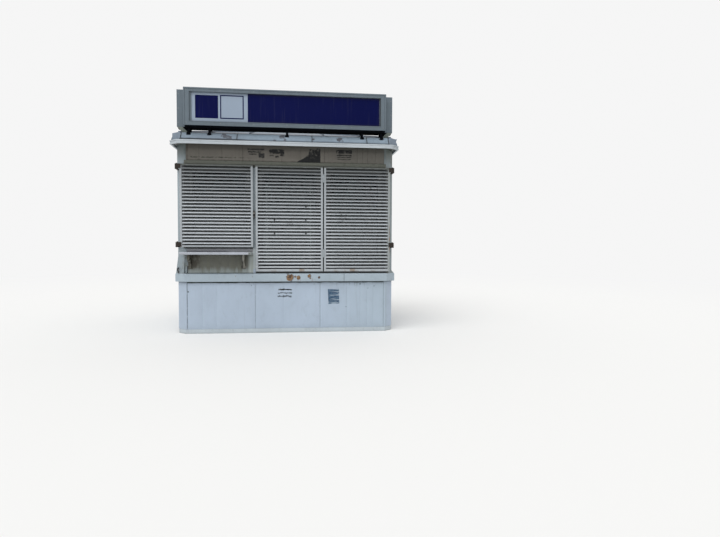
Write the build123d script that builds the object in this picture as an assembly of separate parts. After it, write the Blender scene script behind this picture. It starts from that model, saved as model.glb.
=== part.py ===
from build123d import *
from math import radians, tan
import os

os.makedirs("parts", exist_ok=True)

# Overall sizes, in millimetres. X runs along the front, Y into the kiosk, Z up.
# The origin is the middle of the footprint, on the ground.
width = 2538
depth = 2000
corner_cut = 92
wall = 50

# Base frame and floor
base_height = 50
base_rail = 60
bearer_width = 80
bearer_count = 3
floor_thickness = 28

# Levels from the ground
band_low = 609
band_height = 97
serving_shutter_low = 1015
wall_top = 2205
frieze_height = 236
door_header = 167

# Waist band: folded sheet with a small slope on its top edge
band_proud = 36
band_slope = 8

# Front posts and the rail above the shutters
jamb_width = 50
post_2_width = 100
post_3_width = 80
head_rail_height = 40
head_rail_proud = 15
head_rail_clearance = 6

# Shutters, from left to right as a customer sees them
shutter_edge_inset = 44
left_shutter_width = 828
lock_gap = 31
fold_gap = 14
right_shutter_width = 792
shutter_thickness = 28
shutter_gap = 12
shutter_band_gap = 24
shutter_lap = 28
stile_width = 24
top_rail = 17
bottom_rail = 28
serving_bottom_rail = 20

# Louvre blades: each is a slanting strip with a short upright lip at its foot
blade_pitch = 39
blade_rise = 22
blade_lip = 5
blade_thickness = 3
blade_setback = 2
blade_lean = 15

# Outer shutter hinges
pin_radius = 8
pin_clearance = 0.1
pin_outboard = 32
pin_stand = 8
knuckle_height = 52
knuckle_seat = 0.3
lug_plate = 8
lug_arm = 30
hinge_inset = 5
strap_thickness = 6
strap_length = 16
strap_radius = 6

# Fold hinges between the middle and the right shutter
fold_hinge_height = 95
fold_hinge_top_inset = 139
fold_hinge_foot_inset = 214
fold_leaf_width = 20
fold_leaf_thickness = 3
fold_barrel_radius = 6

# Lock case in the slot between the left and the middle shutter
lock_clearance = 7
lock_depth = 30
lock_height = 72
lock_level = 1400
lock_edge = 4

# Windows behind the shutters
window_bar = 40
window_frame_depth = 36
window_recess = 10
glass_thickness = 6
hatch_height = 360

# Serving shelf on two S-curved brackets
shelf_inset = 20
shelf_end_inset = 8
shelf_depth = 200
shelf_gap = 58
shelf_thickness = 28
shelf_corner = 34
shelf_edge = 6
bracket_thickness = 24
bracket_setback = 50
bracket_foot_gap = 59
bracket_toe = 26
bracket_left_inset = 88
bracket_right_inset = 105
bracket_waist_share = 0.45

# Flared flashings on the front corner facets, just above the waist band
flare_right_height = 32
flare_lip = 1
flare_clearance = 5

# Canopy: a soffit plate with a beaded lip all round
overhang_front = 200
overhang_side = 45
ceiling_thickness = 12
fascia_drop = 31
fascia_thickness = 18
fascia_step = 4
bead_top = 12
bead_foot = 8

# Roof: sloping flashing on a curb, upright corner caps and a low hipped sheet
flashing_inset = 6
flashing_setback = 96
flashing_side_setback = 30
flashing_rise = 93
flashing_thickness = 6
corner_cap_inset = 26
corner_cap_height = 84
corner_cap_thickness = 8
hip_joint = 4
curb_width = 60
roof_slope = 13
roof_sheet = 20

# Sign box on the canopy: a box with the sign's face ahead of a wider box behind it
sign_inset = 117
sign_shoulder = 94
sign_step = 115
sign_depth = 205
sign_ahead = 150
sign_lift = 76
sign_height = 421
sign_frame_side = 64
sign_frame_bar = 48
sign_panel_recess = 22
sign_panel_thickness = 5
white_field_width = 645
end_strip_width = 12
underside_inset = 12
underside_thickness = 20
leg_width = 24
leg_depth = 30
leg_inset = 30
outer_leg_inset = 50
second_leg_inset = 280
strut_width = 61
strut_thickness = 8

# Rear door
door_width = 760
door_frame_bar = 45
door_thickness = 40
door_gap = 4
door_hinge_height = 90
door_hinge_radius = 9
door_hinge_inset = 220
handle_level = 1050
handle_plate_width = 36
handle_plate_height = 180
handle_plate_thickness = 6
handle_reach = 50
handle_radius = 9
handle_length = 110

# Places worked out from the sizes
half_width = width / 2
half_depth = depth / 2
front = -half_depth
far = width + depth
flat_edge = half_width - corner_cut
floor_top = base_height + floor_thickness
band_high = band_low + band_height
shutter_top = wall_top - frieze_height
main_shutter_low = band_high + shutter_band_gap
sill_main = main_shutter_low + shutter_lap
sill_serving = serving_shutter_low + shutter_lap
window_head = shutter_top - shutter_lap
shelf_top = serving_shutter_low - shelf_gap
shelf_low = shelf_top - shelf_thickness
roof_base = wall_top + ceiling_thickness
flashing_top = roof_base + flashing_rise
upright = (Align.CENTER, Align.CENTER, Align.MIN)

left_x0 = -half_width + shutter_edge_inset
left_x1 = left_x0 + left_shutter_width
right_x1 = half_width - shutter_edge_inset
right_x0 = right_x1 - right_shutter_width
middle_x0 = left_x1 + lock_gap
middle_x1 = right_x0 - fold_gap


def block(x0, x1, y0, y1, z0, z1):
    """A box between two corners."""
    size = Box(x1 - x0, y1 - y0, z1 - z0, align=(Align.MIN, Align.MIN, Align.MIN))
    return Pos(x0, y0, z0) * size


def plan_face(points, z):
    """A flat face on a plan outline at one level."""
    return make_face(Polyline(*[(x, y, z) for x, y in points], close=True))


def plan_prism(points, z0, z1):
    """A plan outline raised from z0 to z1."""
    return extrude(plan_face(points, z0), amount=z1 - z0, dir=(0, 0, 1))


def side_prism(points, x0, x1):
    """An outline in Y and Z carried along X from x0 to x1."""
    outline = make_face(Polyline(*[(x0, y, z) for y, z in points], close=True))
    return extrude(outline, amount=x1 - x0, dir=(1, 0, 0))


def front_prism(points, y0, y1):
    """An outline in X and Z carried along Y from y0 to y1."""
    outline = make_face(Polyline(*[(x, y0, z) for x, z in points], close=True))
    return extrude(outline, amount=y1 - y0, dir=(0, 1, 0))


def cut_corner_plan(grow_side, grow_front, grow_rear, cut):
    """The kiosk's plan with its four corners cut, grown by the given amounts."""
    x = half_width + grow_side
    y0 = -half_depth - grow_front
    y1 = half_depth + grow_rear
    return [
        (-x + cut, y0), (x - cut, y0), (x, y0 + cut), (x, y1 - cut),
        (x - cut, y1), (-x + cut, y1), (-x, y1 - cut), (-x, y0 + cut),
    ]


def even_plan(grow):
    """The plan grown evenly, its corner facets kept parallel to the kiosk's own."""
    cut = corner_cut + grow * (2 - 2 ** 0.5)
    return cut_corner_plan(grow, grow, grow, cut)


def canopy_outline(inset):
    """The canopy's plan, drawn in from its edge by an inset."""
    return cut_corner_plan(overhang_side - inset, overhang_front - inset, overhang_side - inset, corner_cut)


def sloped_outline(inset, side_inset):
    """The canopy's plan with its sides drawn in by their own inset."""
    return cut_corner_plan(overhang_side - side_inset, overhang_front - inset, overhang_side - inset, corner_cut)


def frustum(low_points, high_points, z0, z1):
    """A block whose sides lean from one plan to another."""
    return loft([plan_face(low_points, z0), plan_face(high_points, z1)], ruled=True)


def ring(outer, inner, z0, z1):
    """A level ring between two plans."""
    return plan_prism(outer, z0, z1) - plan_prism(inner, z0, z1)


def front_zone(y):
    """Everything ahead of a Y plane."""
    return block(-far, far, -far, y, -far, far)


def rear_zone(y):
    """Everything behind a Y plane."""
    return block(-far, far, y, far, -far, far)


def side_zones(y0, y1):
    """Everything left and everything right between two Y planes."""
    return [block(-far, 0, y0, y1, -far, far), block(0, far, y0, y1, -far, far)]


def save(name, *shapes):
    """One STEP file for one named piece, which may be several like solids."""
    solids = [solid for shape in shapes for solid in shape.solids()]
    piece = solids[0] if len(solids) == 1 else Compound(children=solids)
    export_step(piece, f"parts/{name}.step")


def out(distance):
    """The Y of a plane that stands proud of the front wall."""
    return front - distance


# Base frame: end rails that follow the cut corners, and bearers between them
side_edge = half_depth - corner_cut
base_ring = ring(even_plan(0), even_plan(-base_rail), 0, base_height)
save("base_end_rails", base_ring & front_zone(-side_edge), base_ring & rear_zone(side_edge))
bearers = [base_ring & zone for zone in side_zones(-side_edge, side_edge)]
bearer_step = (width - 2 * base_rail) / (bearer_count + 1)
for i in range(bearer_count):
    x = (i - (bearer_count - 1) / 2) * bearer_step
    bearers.append(block(x - bearer_width / 2, x + bearer_width / 2,
                         front + base_rail, half_depth - base_rail, 0, base_height))
save("base_bearers", *bearers)

# Floor, inside the walls
save("floor", plan_prism(even_plan(-wall), base_height, floor_top))

# Corner posts: one flat facet across each cut corner
corner_plan = [
    (flat_edge, front), (half_width, -side_edge), (half_width - wall, -side_edge), (flat_edge, front + wall),
]
corner_post = plan_prism(corner_plan, base_height, wall_top)
front_posts = [corner_post, mirror(corner_post, about=Plane.YZ)]
save("corner_posts", *front_posts, *[mirror(post, about=Plane.XZ) for post in front_posts])

# Side walls
side_wall = block(half_width - wall, half_width, -side_edge, side_edge, base_height, wall_top)
save("right_wall", side_wall)
save("left_wall", mirror(side_wall, about=Plane.YZ))

# Front wall: a lower wall, four posts, a panel under the serving window and a frieze
back_of_front = front + wall
post_2_middle = (left_x1 + middle_x0) / 2
post_3_middle = (middle_x1 + right_x0) / 2
post_edges = [
    (-flat_edge, -flat_edge + jamb_width),
    (post_2_middle - post_2_width / 2, post_2_middle + post_2_width / 2),
    (post_3_middle - post_3_width / 2, post_3_middle + post_3_width / 2),
    (flat_edge - jamb_width, flat_edge),
]
bays = {
    "serving": (post_edges[0][1], post_edges[1][0], sill_serving),
    "middle": (post_edges[1][1], post_edges[2][0], sill_main),
    "right": (post_edges[2][1], post_edges[3][0], sill_main),
}
save("front_lower_wall", block(-flat_edge, flat_edge, front, back_of_front, base_height, sill_main))
save("front_posts", *[block(x0, x1, front, back_of_front, sill_main, window_head) for x0, x1 in post_edges])
save("front_apron_panel", block(bays["serving"][0], bays["serving"][1], front, back_of_front,
                                sill_main, sill_serving))
save("front_frieze", block(-flat_edge, flat_edge, front, back_of_front, window_head, wall_top))
head_rail_low = shutter_top + head_rail_clearance
save("head_rail", block(-flat_edge, flat_edge, out(head_rail_proud), front,
                        head_rail_low, head_rail_low + head_rail_height))


def window(x0, x1, z0, z1, transom):
    """A glazed frame that fills an opening: the frame and its panes."""
    y0 = front + window_recess
    y1 = y0 + window_frame_depth
    lights = [(z0 + window_bar, z1 - window_bar)]
    if transom:
        lights = [(z0 + window_bar, transom - window_bar / 2), (transom + window_bar / 2, z1 - window_bar)]
    glass_y = (y0 + y1 - glass_thickness) / 2
    frame = block(x0, x1, y0, y1, z0, z1)
    panes = []
    for low, high in lights:
        frame -= block(x0 + window_bar, x1 - window_bar, y0, y1, low, high)
        panes.append(block(x0 + window_bar, x1 - window_bar, glass_y, glass_y + glass_thickness, low, high))
    return frame, panes


all_panes = []
for bay, (x0, x1, sill) in bays.items():
    transom = sill + hatch_height if bay == "serving" else None
    frame, panes = window(x0, x1, sill, window_head, transom)
    save(f"{bay}_window_frame", frame)
    all_panes += panes
save("window_glass", *all_panes)

# Rear wall, split beside and over the door
door_x = door_width / 2
door_top = wall_top - door_header
back_of_rear = half_depth - wall
rear_wall = block(door_x, flat_edge, back_of_rear, half_depth, base_height, wall_top)
save("rear_wall_right", rear_wall)
save("rear_wall_left", mirror(rear_wall, about=Plane.YZ))
save("rear_wall_over_door", block(-door_x, door_x, back_of_rear, half_depth, door_top, wall_top))

# Rear door in its frame, with hinges and a lever handle
opening_x = door_x - door_frame_bar
opening_top = door_top - door_frame_bar
door_frame = block(-door_x, door_x, back_of_rear, half_depth, base_height, door_top)
door_frame -= block(-opening_x, opening_x, back_of_rear, half_depth, floor_top, opening_top)
save("rear_door_frame", door_frame)
leaf_x = opening_x - door_gap
save("rear_door", block(-leaf_x, leaf_x, half_depth - door_thickness, half_depth,
                        floor_top + door_gap, opening_top - door_gap))
door_hinges = []
for level in (floor_top + door_hinge_inset, opening_top - door_hinge_inset):
    barrel = Cylinder(door_hinge_radius, door_hinge_height)
    door_hinges.append(Pos(opening_x - door_gap / 2, half_depth + door_hinge_radius, level) * barrel)
plate_x = -leaf_x + door_frame_bar
handle = block(plate_x - handle_plate_width / 2, plate_x + handle_plate_width / 2,
               half_depth, half_depth + handle_plate_thickness,
               handle_level - handle_plate_height / 2, handle_level + handle_plate_height / 2)
neck = Rot(-90, 0, 0) * Cylinder(handle_radius, handle_reach, align=upright)
handle += Pos(plate_x, half_depth, handle_level) * neck
lever = Rot(0, 90, 0) * Cylinder(handle_radius, handle_length, align=upright)
handle += Pos(plate_x - handle_radius, half_depth + handle_reach - handle_radius, handle_level) * lever
save("rear_door_fittings", handle, *door_hinges)

# Waist band round the kiosk, open at the rear door
band_shoulder = band_high - band_slope
band = plan_prism(even_plan(band_proud), band_low, band_shoulder)
band += frustum(even_plan(band_proud), even_plan(band_proud - band_slope), band_shoulder, band_high)
band -= plan_prism(even_plan(0), band_low, band_high)
save("waist_band_front", band & front_zone(-side_edge))
save("waist_band_sides", *[band & zone for zone in side_zones(-side_edge, side_edge)])
save("waist_band_rear", (band & rear_zone(side_edge)) - block(-door_x, door_x, 0, far, band_low, band_high))


# Louvred shutters
shutter_back = out(shutter_gap)
shutter_front = out(shutter_gap + shutter_thickness)


def shutter_frame(x0, x1, low, rail):
    """Two stiles and two rails."""
    frame = block(x0, x1, shutter_front, shutter_back, low, shutter_top)
    field = block(x0 + stile_width, x1 - stile_width, shutter_front, shutter_back,
                  low + rail, shutter_top - top_rail)
    return frame - field


def louvre_blades(x0, x1, low, rail):
    """Slanting blades with even slits above, below and between them."""
    field_low = low + rail
    field = shutter_top - top_rail - field_low
    slit = blade_pitch - blade_rise
    count = round((field - slit) / blade_pitch)
    pitch = (field - slit) / count
    y0 = shutter_front + blade_setback
    y1 = y0 + blade_lean
    blades = []
    for i in range(count):
        foot = field_low + slit + i * pitch
        knee = foot + blade_lip
        head = foot + blade_rise
        profile = [
            (y0, foot), (y0, knee), (y1 - blade_thickness, head),
            (y1, head), (y0 + blade_thickness, knee), (y0 + blade_thickness, foot),
        ]
        blades.append(side_prism(profile, x0 + stile_width, x1 - stile_width))
    return blades


shutters = {
    "left": (left_x0, left_x1, serving_shutter_low, serving_bottom_rail),
    "middle": (middle_x0, middle_x1, main_shutter_low, bottom_rail),
    "right": (right_x0, right_x1, main_shutter_low, bottom_rail),
}
for side, (x0, x1, low, rail) in shutters.items():
    save(f"{side}_shutter_frame", shutter_frame(x0, x1, low, rail))
    save(f"{side}_shutter_louvres", *louvre_blades(x0, x1, low, rail))

# Flared flashings above the ends of the front waist band
def flare(height):
    """Flashing that runs out from a corner facet down to the waist band's edge."""
    facet = [(flat_edge, front), (half_width, -side_edge)]
    foot = even_plan(band_proud - band_slope)[1:3]
    head = even_plan(flare_lip)[1:3]
    low = plan_face([*foot, facet[1], facet[0]], band_high)
    high = plan_face([*head, facet[1], facet[0]], band_high + height)
    return loft([low, high], ruled=True)


right_flare = flare(flare_right_height) & rear_zone(shutter_back + flare_clearance)
left_flare = mirror(flare(shelf_low - band_high), about=Plane.YZ)
save("corner_flares", right_flare, left_flare)

# Outer shutter hinges: a lug with a pin on the corner post, a knuckle and strap on the shutter
pin_x = left_x0 - pin_outboard
pin_y = (shutter_front + shutter_back) / 2
knuckle_radius = shutter_thickness / 2 + strap_thickness


def lug(level):
    """An arm from the corner facet to under the knuckle, with the pin standing on it."""
    arm = block(pin_x - lug_arm / 2, pin_x + lug_arm / 2, pin_y, -side_edge, level - lug_plate, level)
    ahead_of_facet = [(-far, -far), (0, -far), (-flat_edge, front), (-half_width, -side_edge), (-far, -side_edge)]
    arm &= plan_prism(ahead_of_facet, 0, wall_top)
    foot = Pos(pin_x, pin_y, level - lug_plate) * Cylinder(knuckle_radius, lug_plate, align=upright)
    pin = Pos(pin_x, pin_y, level) * Cylinder(pin_radius, knuckle_height + pin_stand, align=upright)
    return arm + foot + pin


def knuckle(level):
    """A barrel round the pin with a strap along the shutter's front face."""
    low = level + knuckle_seat
    high = low + knuckle_height
    barrel = Pos(pin_x, pin_y, low) * Cylinder(knuckle_radius, knuckle_height, align=upright)
    strap = block(pin_x, left_x0 + strap_length, shutter_front - strap_thickness, shutter_front, low, high)
    ends = strap.edges().filter_by(Axis.Y).group_by(Axis.X)[-1]
    strap = fillet(ends, strap_radius)
    hole = Pos(pin_x, pin_y, low) * Cylinder(pin_radius + pin_clearance, knuckle_height, align=upright)
    return barrel + strap - hole


hinge_levels = (serving_shutter_low + hinge_inset, shutter_top - knuckle_height)
save("left_hinge_lugs", *[lug(level) for level in hinge_levels])
save("left_hinge_knuckles", *[knuckle(level) for level in hinge_levels])
right_hinges = [make(level) for level in hinge_levels for make in (lug, knuckle)]
save("right_hinges", *[mirror(solid, about=Plane.YZ) for solid in right_hinges])

# Fold hinges between the middle and the right shutter
fold_x = (middle_x1 + right_x0) / 2
plate_y = shutter_front - fold_leaf_thickness
fold_hinges = []
for level in (main_shutter_low + fold_hinge_foot_inset, shutter_top - fold_hinge_top_inset):
    low = level - fold_hinge_height / 2
    high = level + fold_hinge_height / 2
    plate = block(fold_x - fold_leaf_width, fold_x + fold_leaf_width, plate_y, shutter_front, low, high)
    barrel = Pos(fold_x, plate_y, low) * Cylinder(fold_barrel_radius, fold_hinge_height, align=upright)
    fold_hinges.append(plate + (barrel & front_zone(shutter_front)))
save("fold_hinges", *fold_hinges)

# Lock case on the free edge of the left shutter
lock_case = block(left_x1, middle_x0 - lock_clearance, shutter_front, shutter_front + lock_depth,
                  lock_level - lock_height / 2, lock_level + lock_height / 2)
lock_corners = lock_case.edges().filter_by(Axis.Y).group_by(Axis.X)[-1]
save("left_shutter_lock", fillet(lock_corners, lock_edge))

# Serving shelf with one cut corner and eased edges, fitted round the corner facet
shelf_x0 = left_x0 + shelf_inset
shelf_x1 = left_x1 - shelf_end_inset
shelf_plan = [
    (shelf_x0, out(shelf_depth)), (shelf_x1 - shelf_corner, out(shelf_depth)),
    (shelf_x1, out(shelf_depth - shelf_corner)), (shelf_x1, front),
    (-flat_edge, front), (shelf_x0, front - flat_edge - shelf_x0),
]
shelf = plan_prism(shelf_plan, shelf_low, shelf_top)
shelf_rim = shelf.edges().group_by(Axis.Z)[-1].group_by(Axis.Y)[0]
save("serving_shelf", chamfer(shelf_rim, shelf_edge))


def bracket(middle):
    """An S-curved bracket under the shelf."""
    x = middle - bracket_thickness / 2
    reach = shelf_depth - bracket_setback
    foot = band_high + bracket_foot_gap
    nose = (x, out(reach), shelf_low - bracket_toe)
    waist = (x, out(reach * bracket_waist_share), foot + (shelf_low - foot) * bracket_waist_share)
    toe = (x, out(bracket_toe), foot)
    edge = Spline(nose, waist, toe, tangents=((0, 0, -1), (0, 0, -1)))
    rest = Polyline(toe, (x, front, foot), (x, front, shelf_low), (x, out(reach), shelf_low), nose)
    return extrude(make_face(edge + rest), amount=bracket_thickness, dir=(1, 0, 0))


save("shelf_brackets", bracket(shelf_x0 + bracket_left_inset), bracket(shelf_x1 - bracket_right_inset))

# Ceiling and canopy soffit in one plate, with a beaded lip all round
fascia_low = wall_top - fascia_drop
lip_inner = canopy_outline(fascia_thickness)
save("ceiling", plan_prism(lip_inner, wall_top, roof_base))
fascia = ring(canopy_outline(fascia_step), lip_inner, fascia_low, roof_base)
fascia += ring(canopy_outline(0), lip_inner, roof_base - bead_top, roof_base)
fascia += ring(canopy_outline(0), lip_inner, fascia_low, fascia_low + bead_foot)
fascia_y0 = front - overhang_front + corner_cut
fascia_y1 = half_depth + overhang_side - corner_cut
save("fascia_front", fascia & front_zone(fascia_y0))
save("fascia_rear", fascia & rear_zone(fascia_y1))
save("fascia_sides", *[fascia & zone for zone in side_zones(fascia_y0, fascia_y1)])

# Sloping flashing in four lengths on a curb, with an upright cap on each cut corner
cap_lean = corner_cap_thickness * 2 ** 0.5
cap_inner = cut_corner_plan(overhang_side, overhang_front, overhang_side,
                            corner_cut + 2 * corner_cap_inset + cap_lean)
curb_foot = canopy_outline(flashing_inset + flashing_thickness)
curb_head = sloped_outline(flashing_setback + flashing_thickness, flashing_side_setback + flashing_thickness)
curb_solid = frustum(curb_foot, curb_head, roof_base, flashing_top)
curb_solid &= plan_prism(cap_inner, roof_base, flashing_top)
flashing_head = sloped_outline(flashing_setback, flashing_side_setback)
flashing = frustum(canopy_outline(flashing_inset), flashing_head, roof_base, flashing_top)
flashing -= curb_solid
cap_end = corner_cut + corner_cap_inset + cap_lean + hip_joint
joint_x = half_width + overhang_side - cap_end
joint_y0 = front - overhang_front + cap_end
joint_y1 = half_depth + overhang_side - cap_end
lengths = [
    block(-joint_x, joint_x, -far, 0, 0, far), block(-joint_x, joint_x, 0, far, 0, far),
    *side_zones(joint_y0, joint_y1),
]
save("roof_flashing", *[flashing & zone for zone in lengths])
curb_x = half_width - wall - curb_width
curb_hollow = block(-curb_x, curb_x, front + wall, half_depth - wall - curb_width, roof_base, flashing_top)
save("roof_curb", curb_solid - curb_hollow)
cap_outer = canopy_outline(corner_cap_inset)
save("roof_corner_caps", ring(cap_outer, cap_inner, roof_base, roof_base + corner_cap_height))

# Low hipped roof sheet, seated on the curb
rim_x = half_width + overhang_side - flashing_side_setback
rim_y0 = front - overhang_front + flashing_setback
rim_y1 = half_depth + overhang_side - flashing_setback
run = (rim_y1 - rim_y0) / 2
ridge = flashing_top + run * tan(radians(roof_slope))
hip = side_prism([(rim_y0, flashing_top), (rim_y1, flashing_top), (rim_y0 + run, ridge)], -rim_x, rim_x)
hip &= front_prism([(-rim_x, flashing_top), (rim_x, flashing_top), (rim_x - run, ridge), (run - rim_x, ridge)],
                   rim_y0, rim_y1)
hip &= plan_prism(flashing_head, flashing_top, ridge)
save("roof_sheet", hip - Pos(0, 0, -roof_sheet) * hip)

# Sign box: a stepped housing with a front frame round a two-colour panel
sign_low = flashing_top + sign_lift
sign_top = sign_low + sign_height
sign_front_x = half_width - sign_inset
sign_back_x = sign_front_x + sign_shoulder
sign_y0 = out(sign_ahead)
sign_step_y = sign_y0 + sign_step
sign_y1 = sign_y0 + sign_depth
sign_split = sign_y0 + sign_panel_recess + sign_panel_thickness


def stepped_box(inset, z0, z1):
    """The sign's stepped plan, drawn in by an inset and raised from z0 to z1."""
    x0 = sign_front_x - inset
    x1 = sign_back_x - inset
    box = block(-x0, x0, sign_y0 + inset, sign_y1 - inset, z0, z1)
    return box + block(-x1, x1, sign_step_y + inset, sign_y1 - inset, z0, z1)


sign = stepped_box(0, sign_low, sign_top)
panel_x = sign_front_x - sign_frame_side
panel_low = sign_low + sign_frame_bar
panel_high = sign_top - sign_frame_bar
panel_y = sign_y0 + sign_panel_recess
window_of_frame = block(-panel_x, panel_x, sign_y0, sign_split, panel_low, panel_high)
save("sign_frame", (sign & front_zone(sign_split)) - window_of_frame)
save("sign_housing", sign & rear_zone(sign_split))
seam_x = -panel_x + white_field_width
strip_x = panel_x - end_strip_width
save("sign_panel_white", block(-panel_x, seam_x, panel_y, sign_split, panel_low, panel_high),
     block(strip_x, panel_x, panel_y, sign_split, panel_low, panel_high))
save("sign_panel_navy", block(seam_x, strip_x, panel_y, sign_split, panel_low, panel_high))
under_low = sign_low - underside_thickness
underside = stepped_box(underside_inset, under_low, sign_low)
save("sign_underside", underside)

# Stub legs between the sign's underside and the roof
outer_leg = sign_front_x - outer_leg_inset
second_leg = sign_front_x - second_leg_inset
legs = []
for x in (-outer_leg, -second_leg, 0, second_leg, outer_leg):
    for y in (sign_y0 + leg_inset, sign_y1 - leg_inset - leg_depth):
        leg = block(x - leg_width / 2, x + leg_width / 2, y, y + leg_depth, roof_base, under_low)
        legs.append(leg - flashing - curb_solid - hip)
save("sign_legs", *legs)

# A flat strut from each outer corner of the sign's step down to the roof, with a gusset plate beside it
strut_x = outer_leg + leg_width / 2
strut_top_x = sign_back_x - strut_width
strut_foot = flashing_top + strut_thickness
strut_y = sign_step_y + strut_thickness
strut = front_prism([(sign_back_x, sign_low), (strut_top_x, sign_low),
                     (strut_x, strut_foot), (strut_x + strut_width, strut_foot)], sign_step_y, strut_y)
strut -= hip
save("sign_struts", strut, mirror(strut, about=Plane.YZ))
gusset_outline = [(strut_x, sign_low), (strut_x, strut_foot), (strut_top_x, sign_low)]
gusset = front_prism(gusset_outline, sign_step_y, strut_y)
gusset -= hip + underside
save("sign_gussets", gusset, mirror(gusset, about=Plane.YZ))
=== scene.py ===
import random
from contextlib import contextmanager
from functools import reduce
from math import ceil, cos, pi, radians, sin
from operator import or_

import bmesh
import bpy
from mathutils import Matrix, Vector, noise


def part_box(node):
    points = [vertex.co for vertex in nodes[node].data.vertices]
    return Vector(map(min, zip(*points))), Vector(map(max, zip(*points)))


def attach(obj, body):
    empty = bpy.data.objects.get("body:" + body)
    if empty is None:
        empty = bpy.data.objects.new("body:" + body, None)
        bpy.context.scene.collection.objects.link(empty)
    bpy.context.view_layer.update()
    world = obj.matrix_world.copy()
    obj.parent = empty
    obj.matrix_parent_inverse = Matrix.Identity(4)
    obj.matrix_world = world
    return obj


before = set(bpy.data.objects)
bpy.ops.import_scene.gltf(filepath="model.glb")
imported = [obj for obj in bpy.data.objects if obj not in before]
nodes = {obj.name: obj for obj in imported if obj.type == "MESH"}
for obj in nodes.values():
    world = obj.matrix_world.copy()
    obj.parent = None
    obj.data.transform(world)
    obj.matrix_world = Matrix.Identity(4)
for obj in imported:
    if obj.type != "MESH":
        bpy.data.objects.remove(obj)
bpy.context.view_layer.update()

# The street kiosk's looks: finishes, sheet joints, fasteners, rust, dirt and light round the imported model.
# All lengths are metres. X runs along the front, Y into the kiosk, Z up, with the origin on the ground.
scene = bpy.context.scene

# Both kinds of chance are seeded, so that every run makes the same shapes
random.seed(11)
noise.seed_set(11)

# Sheet metal
SHEET = 0.0024
CELL = 0.055
RIM = 0.004
GROOVE_HALF = 0.004
GROOVE_DEPTH = 0.0014
WAVE = 0.0012
SEAM = 0.004
BACK_SHEET = 0.0016
BAND_SHEET = 0.0014
BAND_SHOULDER = 0.010
BAND_JOINT = 0.009
COVER_LIP = 0.019
FOLD = 0.003
WALL_FACE = SHEET + WAVE + 0.0003
OUTER_LIP = 0.016
INNER_LIP = 0.009
LIP_RISE = 0.004
FILM = 0.0008
RIB_PITCH = 0.43
HIP_ROLL = 0.014
STILE = 0.024
BRACKET_WIDTH = 0.024
BAR = 0.040
HATCH_SPLIT = 0.360
BOARD = 0.172

# Heads of rivets and screws: radius and height
RIVET = (0.0032, 0.0014)
BAND_SCREW = (0.0044, 0.0016)
SIGN_SCREW = (0.0045, 0.0022)
BACK_SCREW = (0.004, 0.002)
HINGE_SCREW = (0.0034, 0.0014)

# Seams and grooves of the front's sheets, from the left
LOWER_SEAMS = (-0.377, 0.3875)
LOWER_GROOVES = (-0.985, -0.825, -0.045, 0.712, 0.870, 0.955, 1.035)
FRIEZE_SEAMS = (-0.513, 0.440)
FRIEZE_GROOVES = (-1.139, -1.009, -0.750, -0.280, -0.060, 0.160, 0.831, 0.896, 0.955, 1.052)
APRON_SEAM = -1.150
APRON_GROOVES = (-1.010, -0.868, -0.776, -0.683, -0.590, -0.495)
SIDE_SEAMS = (-0.31, 0.31)
LAP_SEAMS = (-0.563, 0.286, 0.924)
SHOE = ((-0.023, 2.280), (0.023, 2.280), (0.021, 2.300), (0.014, 2.312), (-0.014, 2.312), (-0.021, 2.300))
CAP_SEAM = 1.1825
BAND_LAP = 0.675
BAND_GAP = 0.003

# Small things on the front, from the photo. Oblongs are from X to X and from Z to Z, the hook is a line
# of places, and the others are given by X, or by X and Z.
SIGN_LEGS = (-1.102, -0.872, 0, 0.872, 1.102)
SHUTTER_BOLTS = ((0.218, 1.475), (0.218, 1.323), (0.218, 1.172), (-0.149, 1.326), (-0.149, 1.170))
NAVY_FILM = (-1.026, -0.773, 2.472, 2.729)
SQUARE_OUTLINE = (-0.750, -0.488, 2.470, 2.736)
CORNER_HOOK = ((-1.262, -0.940, 0.768), (-1.2665, -0.957, 0.766), (-1.268, -0.972, 0.758),
               (-1.264, -0.981, 0.740), (-1.257, -0.987, 0.722), (-1.256, -0.994, 0.713))
SEALED_SEAM = ((-1.154, 0.712), (-1.147, 0.712), (-1.1475, 0.792), (-1.1535, 0.788))

# Camera, from the photo's vanishing points
CAMERA_PLACE = Vector((0.0683, -7.4819, 1.0566))
CAMERA_YAW = radians(7.0478)
CAMERA_PITCH = radians(2.5882)
CAMERA_ROLL = radians(0.2262)
PHOTO_WIDTH = 720
FOCAL_PIXELS = 541
SENSOR = 36.0

# Light
SUN_STRENGTH = 1.75
SUN_HEIGHT = radians(50)
SUN_SIDE = radians(-24)
SUN_SPREAD = radians(60)
ZENITH_LEVEL = 0.95
HORIZON_LEVEL = 0.34
BACKGROUND = 0.92


def low_of(node):
    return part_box(node)[0]


def high_of(node):
    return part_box(node)[1]


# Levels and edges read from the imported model
half_width = high_of("right_wall").x
half_depth = -low_of("front_lower_wall").y
flat_edge = high_of("front_lower_wall").x
side_edge = high_of("right_wall").y
cover_x = flat_edge - COVER_LIP
side_cover = side_edge - COVER_LIP
base_top = low_of("floor").z
band_low = low_of("waist_band_front").z
band_high = high_of("waist_band_front").z
band_out = -low_of("waist_band_front").y - half_depth
wall_top = high_of("front_frieze").z
rail_high = high_of("head_rail").z
shelf_low = low_of("serving_shelf").z
shelf_high = high_of("serving_shelf").z
shelf_front = low_of("serving_shelf").y
shelf_right = high_of("serving_shelf").x
bracket_low, bracket_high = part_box("shelf_brackets")
left_low, left_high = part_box("left_shutter_frame")
middle_low, middle_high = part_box("middle_shutter_frame")
right_low, right_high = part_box("right_shutter_frame")
roof_base = low_of("roof_flashing").z
foot_front = low_of("roof_flashing").y
flashing_top = high_of("roof_flashing").z
roof_low, roof_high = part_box("roof_sheet")
door_low, door_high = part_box("rear_door")
door_frame = high_of("rear_door_frame")


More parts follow.
